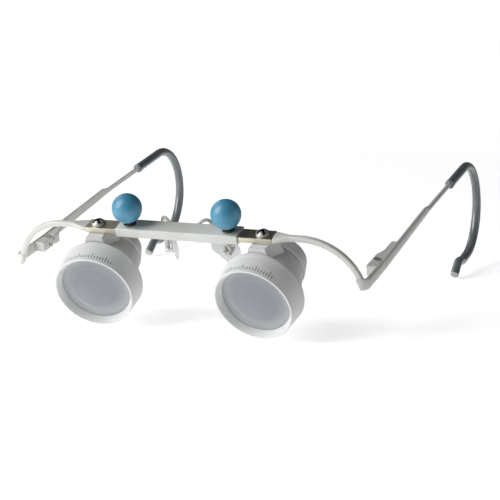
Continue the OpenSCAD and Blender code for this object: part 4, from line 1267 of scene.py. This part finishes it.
# %% [markdown]
# ## The nose pads
# The pad is a soft cushion of clear silicone. Its outline shrinks towards the middle while its two faces
# bulge, so scale and height follow half a squarish section. A cube with a Subdivision Surface modifier
# comes close, but its outline would be harder to set.

# %% The nose pads
PAD_LENGTH = 17.0
PAD_WIDTH = 7.2
PAD_THICKNESS = 1.8
PAD_POWER = 2.8
PAD_ROUND_SHARE = 0.98
PAD_STEPS = 28

half_round = np.linspace(-np.pi / 2.0, np.pi / 2.0, PAD_STEPS)
pad_scale, pad_height = squarish(half_round, PAD_POWER)
pad_scale[[0, -1]] = 0.0
half_long = PAD_LENGTH / 2.0
half_wide = PAD_WIDTH / 2.0
pad_corners = [
    [-half_wide, -half_long], [half_wide, -half_long], [half_wide, half_long], [-half_wide, half_long]
]
pad_plan = pad_scale[:, None, None] * rounded(pad_corners, PAD_ROUND_SHARE * half_wide)[None]
pad_depth = np.broadcast_to((pad_height[:, None] - 1.0) * PAD_THICKNESS / 2.0, pad_plan.shape[:2])
cushion = np.concatenate([pad_depth[..., None], pad_plan], axis=-1)
make_pair("nose_pad", [(cushion, pad_plan)], pad_frame)

# %% [markdown]
# ## CAD pieces that stay
# Plates, clamp and hinge screws, washers, lugs, lock rings, eyepiece lenses, pad pins and inserts already
# have their right shape, so computing them again would gain little. They only take their finish.

# %% CAD pieces that stay
replaced = {node for piece in made_pieces for node in piece["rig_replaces"]}
kept_nodes = sorted(set(frame["nodes"]) - replaced)
for node in kept_nodes:
    frame["nodes"][node].material_slots[0].material = looks[slot_of[node]]
print("new pieces:", len(made_pieces), "CAD pieces kept:", len(kept_nodes))

# %% [markdown]
# ## Floor
# The loupes stand on a white studio floor, which throws light up from below. It glows by itself, more at
# the front left than at the back right, and fades out at its rim into the white background. What the
# camera sees of it glows evenly. A lamp under a glass floor could do the same, but its light would be
# harder to shape.

# %% Floor
FLOOR_RADIUS = 0.5
FLOOR_FADED = 0.48
FLOOR_SOLID = 0.2
FLOOR_DARK = (0.93, 0.93, 0.93)
FLOOR_LIGHT = (0.95, 0.95, 0.95)
FLOOR_SKIN = {"Grain Scale": 400.0, "Patch Scale": 12.0}
FLOOR_TURNS = 97
FLOOR_RINGS = 9
GLOW_NEAR = (0.66, 0.66, 0.66)
GLOW_FAR = (0.28, 0.28, 0.28)
GLOW_TOWARDS = (0.85, 0.53, 0.0)
GLOW_REACH = 0.15
FLOOR_SEEN_GLOW = (0.66, 0.66, 0.66)

floor_turn = np.linspace(0.0, 2.0 * np.pi, FLOOR_TURNS)
floor_ring = np.linspace(0.0, FLOOR_RADIUS, FLOOR_RINGS)
floor_x = np.outer(floor_ring, np.cos(floor_turn))
floor_y = np.outer(floor_ring, np.sin(floor_turn))
floor_grid = np.stack([floor_x, floor_y, 0.0 * floor_x], axis=-1)
floor = bpy.data.objects.new("floor", mesh_of("floor", [(floor_grid, floor_grid[..., :2])]))
bpy.context.scene.collection.objects.link(floor)
floor_look, tree, shader, coords = new_look("floor", Roughness=0.5, Emission_Strength=1.0)
skin = group_in(tree, skin_group, {"Vector": coords["Object"], **FLOOR_SKIN})
tree.links.new(mixed(tree, skin["Patches"], FLOOR_DARK, FLOOR_LIGHT), shader.inputs["Base Color"])
distance_out = measured(tree, "LENGTH", coords["Object"])
tree.links.new(spread(tree, distance_out, FLOOR_FADED, FLOOR_SOLID), shader.inputs["Alpha"])
far_off = measured(tree, "DOT_PRODUCT", coords["Object"], GLOW_TOWARDS)
glow = mixed(tree, spread(tree, far_off, -GLOW_REACH, GLOW_REACH), GLOW_NEAR, GLOW_FAR)
seen = tree.nodes.new("ShaderNodeLightPath").outputs["Is Camera Ray"]
tree.links.new(mixed(tree, seen, glow, FLOOR_SEEN_GLOW), shader.inputs["Emission Color"])
floor.data.materials.append(floor_look)
print("floor faces:", len(floor.data.polygons))

# %% [markdown]
# ## Studio
# Only the camera sees the white backdrop. All other rays see a dim grey studio with a bright wall at the
# front left and a dark ceiling. Paint and metal mirror this, which gives them a light and a dark side.

# %% Studio
STUDIO_TOP = (0.02, 0.02, 0.02)
STUDIO_WALL = (0.12, 0.123, 0.126)
STUDIO_BRIGHT = (0.56, 0.575, 0.59)
BRIGHT_SIDE = (-0.77, -0.64, 0.0)
BRIGHT_SPREAD = (0.1, 0.9)
WALL_SPREAD = (0.6, 0.05)
BACKDROP = (1.0, 1.0, 1.0)

world = bpy.data.worlds.new("studio")
bpy.context.scene.world = world
world.use_nodes = True
tree = world.node_tree
direction = tree.nodes.new("ShaderNodeTexCoord").outputs["Generated"]
brightwards = measured(tree, "DOT_PRODUCT", direction, BRIGHT_SIDE)
upwards = part_of(tree, direction, "Z")
wall = mixed(tree, spread(tree, brightwards, *BRIGHT_SPREAD), STUDIO_WALL, STUDIO_BRIGHT)
studio = mixed(tree, spread(tree, upwards, *WALL_SPREAD), STUDIO_TOP, wall)
seen = tree.nodes.new("ShaderNodeLightPath").outputs["Is Camera Ray"]
tree.links.new(mixed(tree, seen, studio, BACKDROP), tree.nodes["Background"].inputs["Color"])
print("nodes in the studio's world:", len(tree.nodes))

# %% [markdown]
# ## Lamps
# A large softbox at the front left is the main light. A smaller one at the back left draws a rim, one
# above lights the top faces, and a weak one on the right opens the shadows. All of them look at the
# middle of the loupes.

# %% Lamps
LAMPS = {
    "key": {"place": (-0.66, -0.56, 0.46), "size": 0.6, "power": 6.6},
    "back": {"place": (-0.60, 0.34, 0.46), "size": 0.3, "power": 0.6},
    "top": {"place": (-0.45, -0.45, 0.75), "size": 0.4, "power": 1.9},
    "fill": {"place": (0.75, 0.10, 0.10), "size": 0.5, "power": 0.7}
}

aim = (cad_low + cad_high) / 2.0


def soft_light(name, place, size, power):
    """A square softbox that looks at the middle of the loupes. Its place and size are in metres."""
    lamp = bpy.data.lights.new(name, "AREA")
    lamp.size = size
    lamp.energy = power
    made = bpy.data.objects.new(name, lamp)
    made.location = place
    made.rotation_mode = "QUATERNION"
    made.rotation_quaternion = (made.location - aim).to_track_quat("Z", "Y")
    bpy.context.scene.collection.objects.link(made)


for name, values in LAMPS.items():
    soft_light(name, **values)

# %% [markdown]
# ## Camera
# The camera was found by fitting points of the model to the photograph: its turn, rise and roll round the
# bridge, its distance and focal length, and where the middle of the bridge appears in the square picture.

# %% Camera
CAMERA_TURN = np.radians(25.453)
CAMERA_RISE = np.radians(29.438)
CAMERA_ROLL = np.radians(-9.191)
CAMERA_DISTANCE = 602.09
PICTURE = 500.0
FOCAL_PIXELS = 1686.6
BRIDGE_SEEN_AT = (179.472, 231.493)
SENSOR = 36.0

sin_turn = np.sin(CAMERA_TURN)
cos_turn = np.cos(CAMERA_TURN)
back = np.array([sin_turn * np.cos(CAMERA_RISE), -cos_turn * np.cos(CAMERA_RISE), np.sin(CAMERA_RISE)])
level = np.array([cos_turn, sin_turn, 0.0])
over = np.cross(back, level)
image_right = np.cos(CAMERA_ROLL) * level + np.sin(CAMERA_ROLL) * over
image_up = np.cos(CAMERA_ROLL) * over - np.sin(CAMERA_ROLL) * level
off_x = (BRIDGE_SEEN_AT[0] - PICTURE / 2.0) / FOCAL_PIXELS
off_y = (PICTURE / 2.0 - BRIDGE_SEEN_AT[1]) / FOCAL_PIXELS
camera_axes = np.eye(4)
camera_axes[:3, :3] = np.column_stack([image_right, image_up, back])
camera_axes[:3, 3] = -CAMERA_DISTANCE * (off_x * image_right + off_y * image_up - back)
camera_matrix = bridge_frame @ camera_axes
camera_matrix[:3, 3] *= MM
camera_data = bpy.data.cameras.new("camera")
camera_data.sensor_width = SENSOR
camera_data.lens = SENSOR * FOCAL_PIXELS / PICTURE
camera = bpy.data.objects.new("camera", camera_data)
bpy.context.scene.collection.objects.link(camera)
camera.matrix_world = Matrix(camera_matrix.tolist())
bpy.context.scene.camera = camera
bpy.context.scene.view_settings.view_transform = "Standard"
print("camera at", [round(value, 4) for value in camera.location], "lens", round(camera_data.lens, 2))
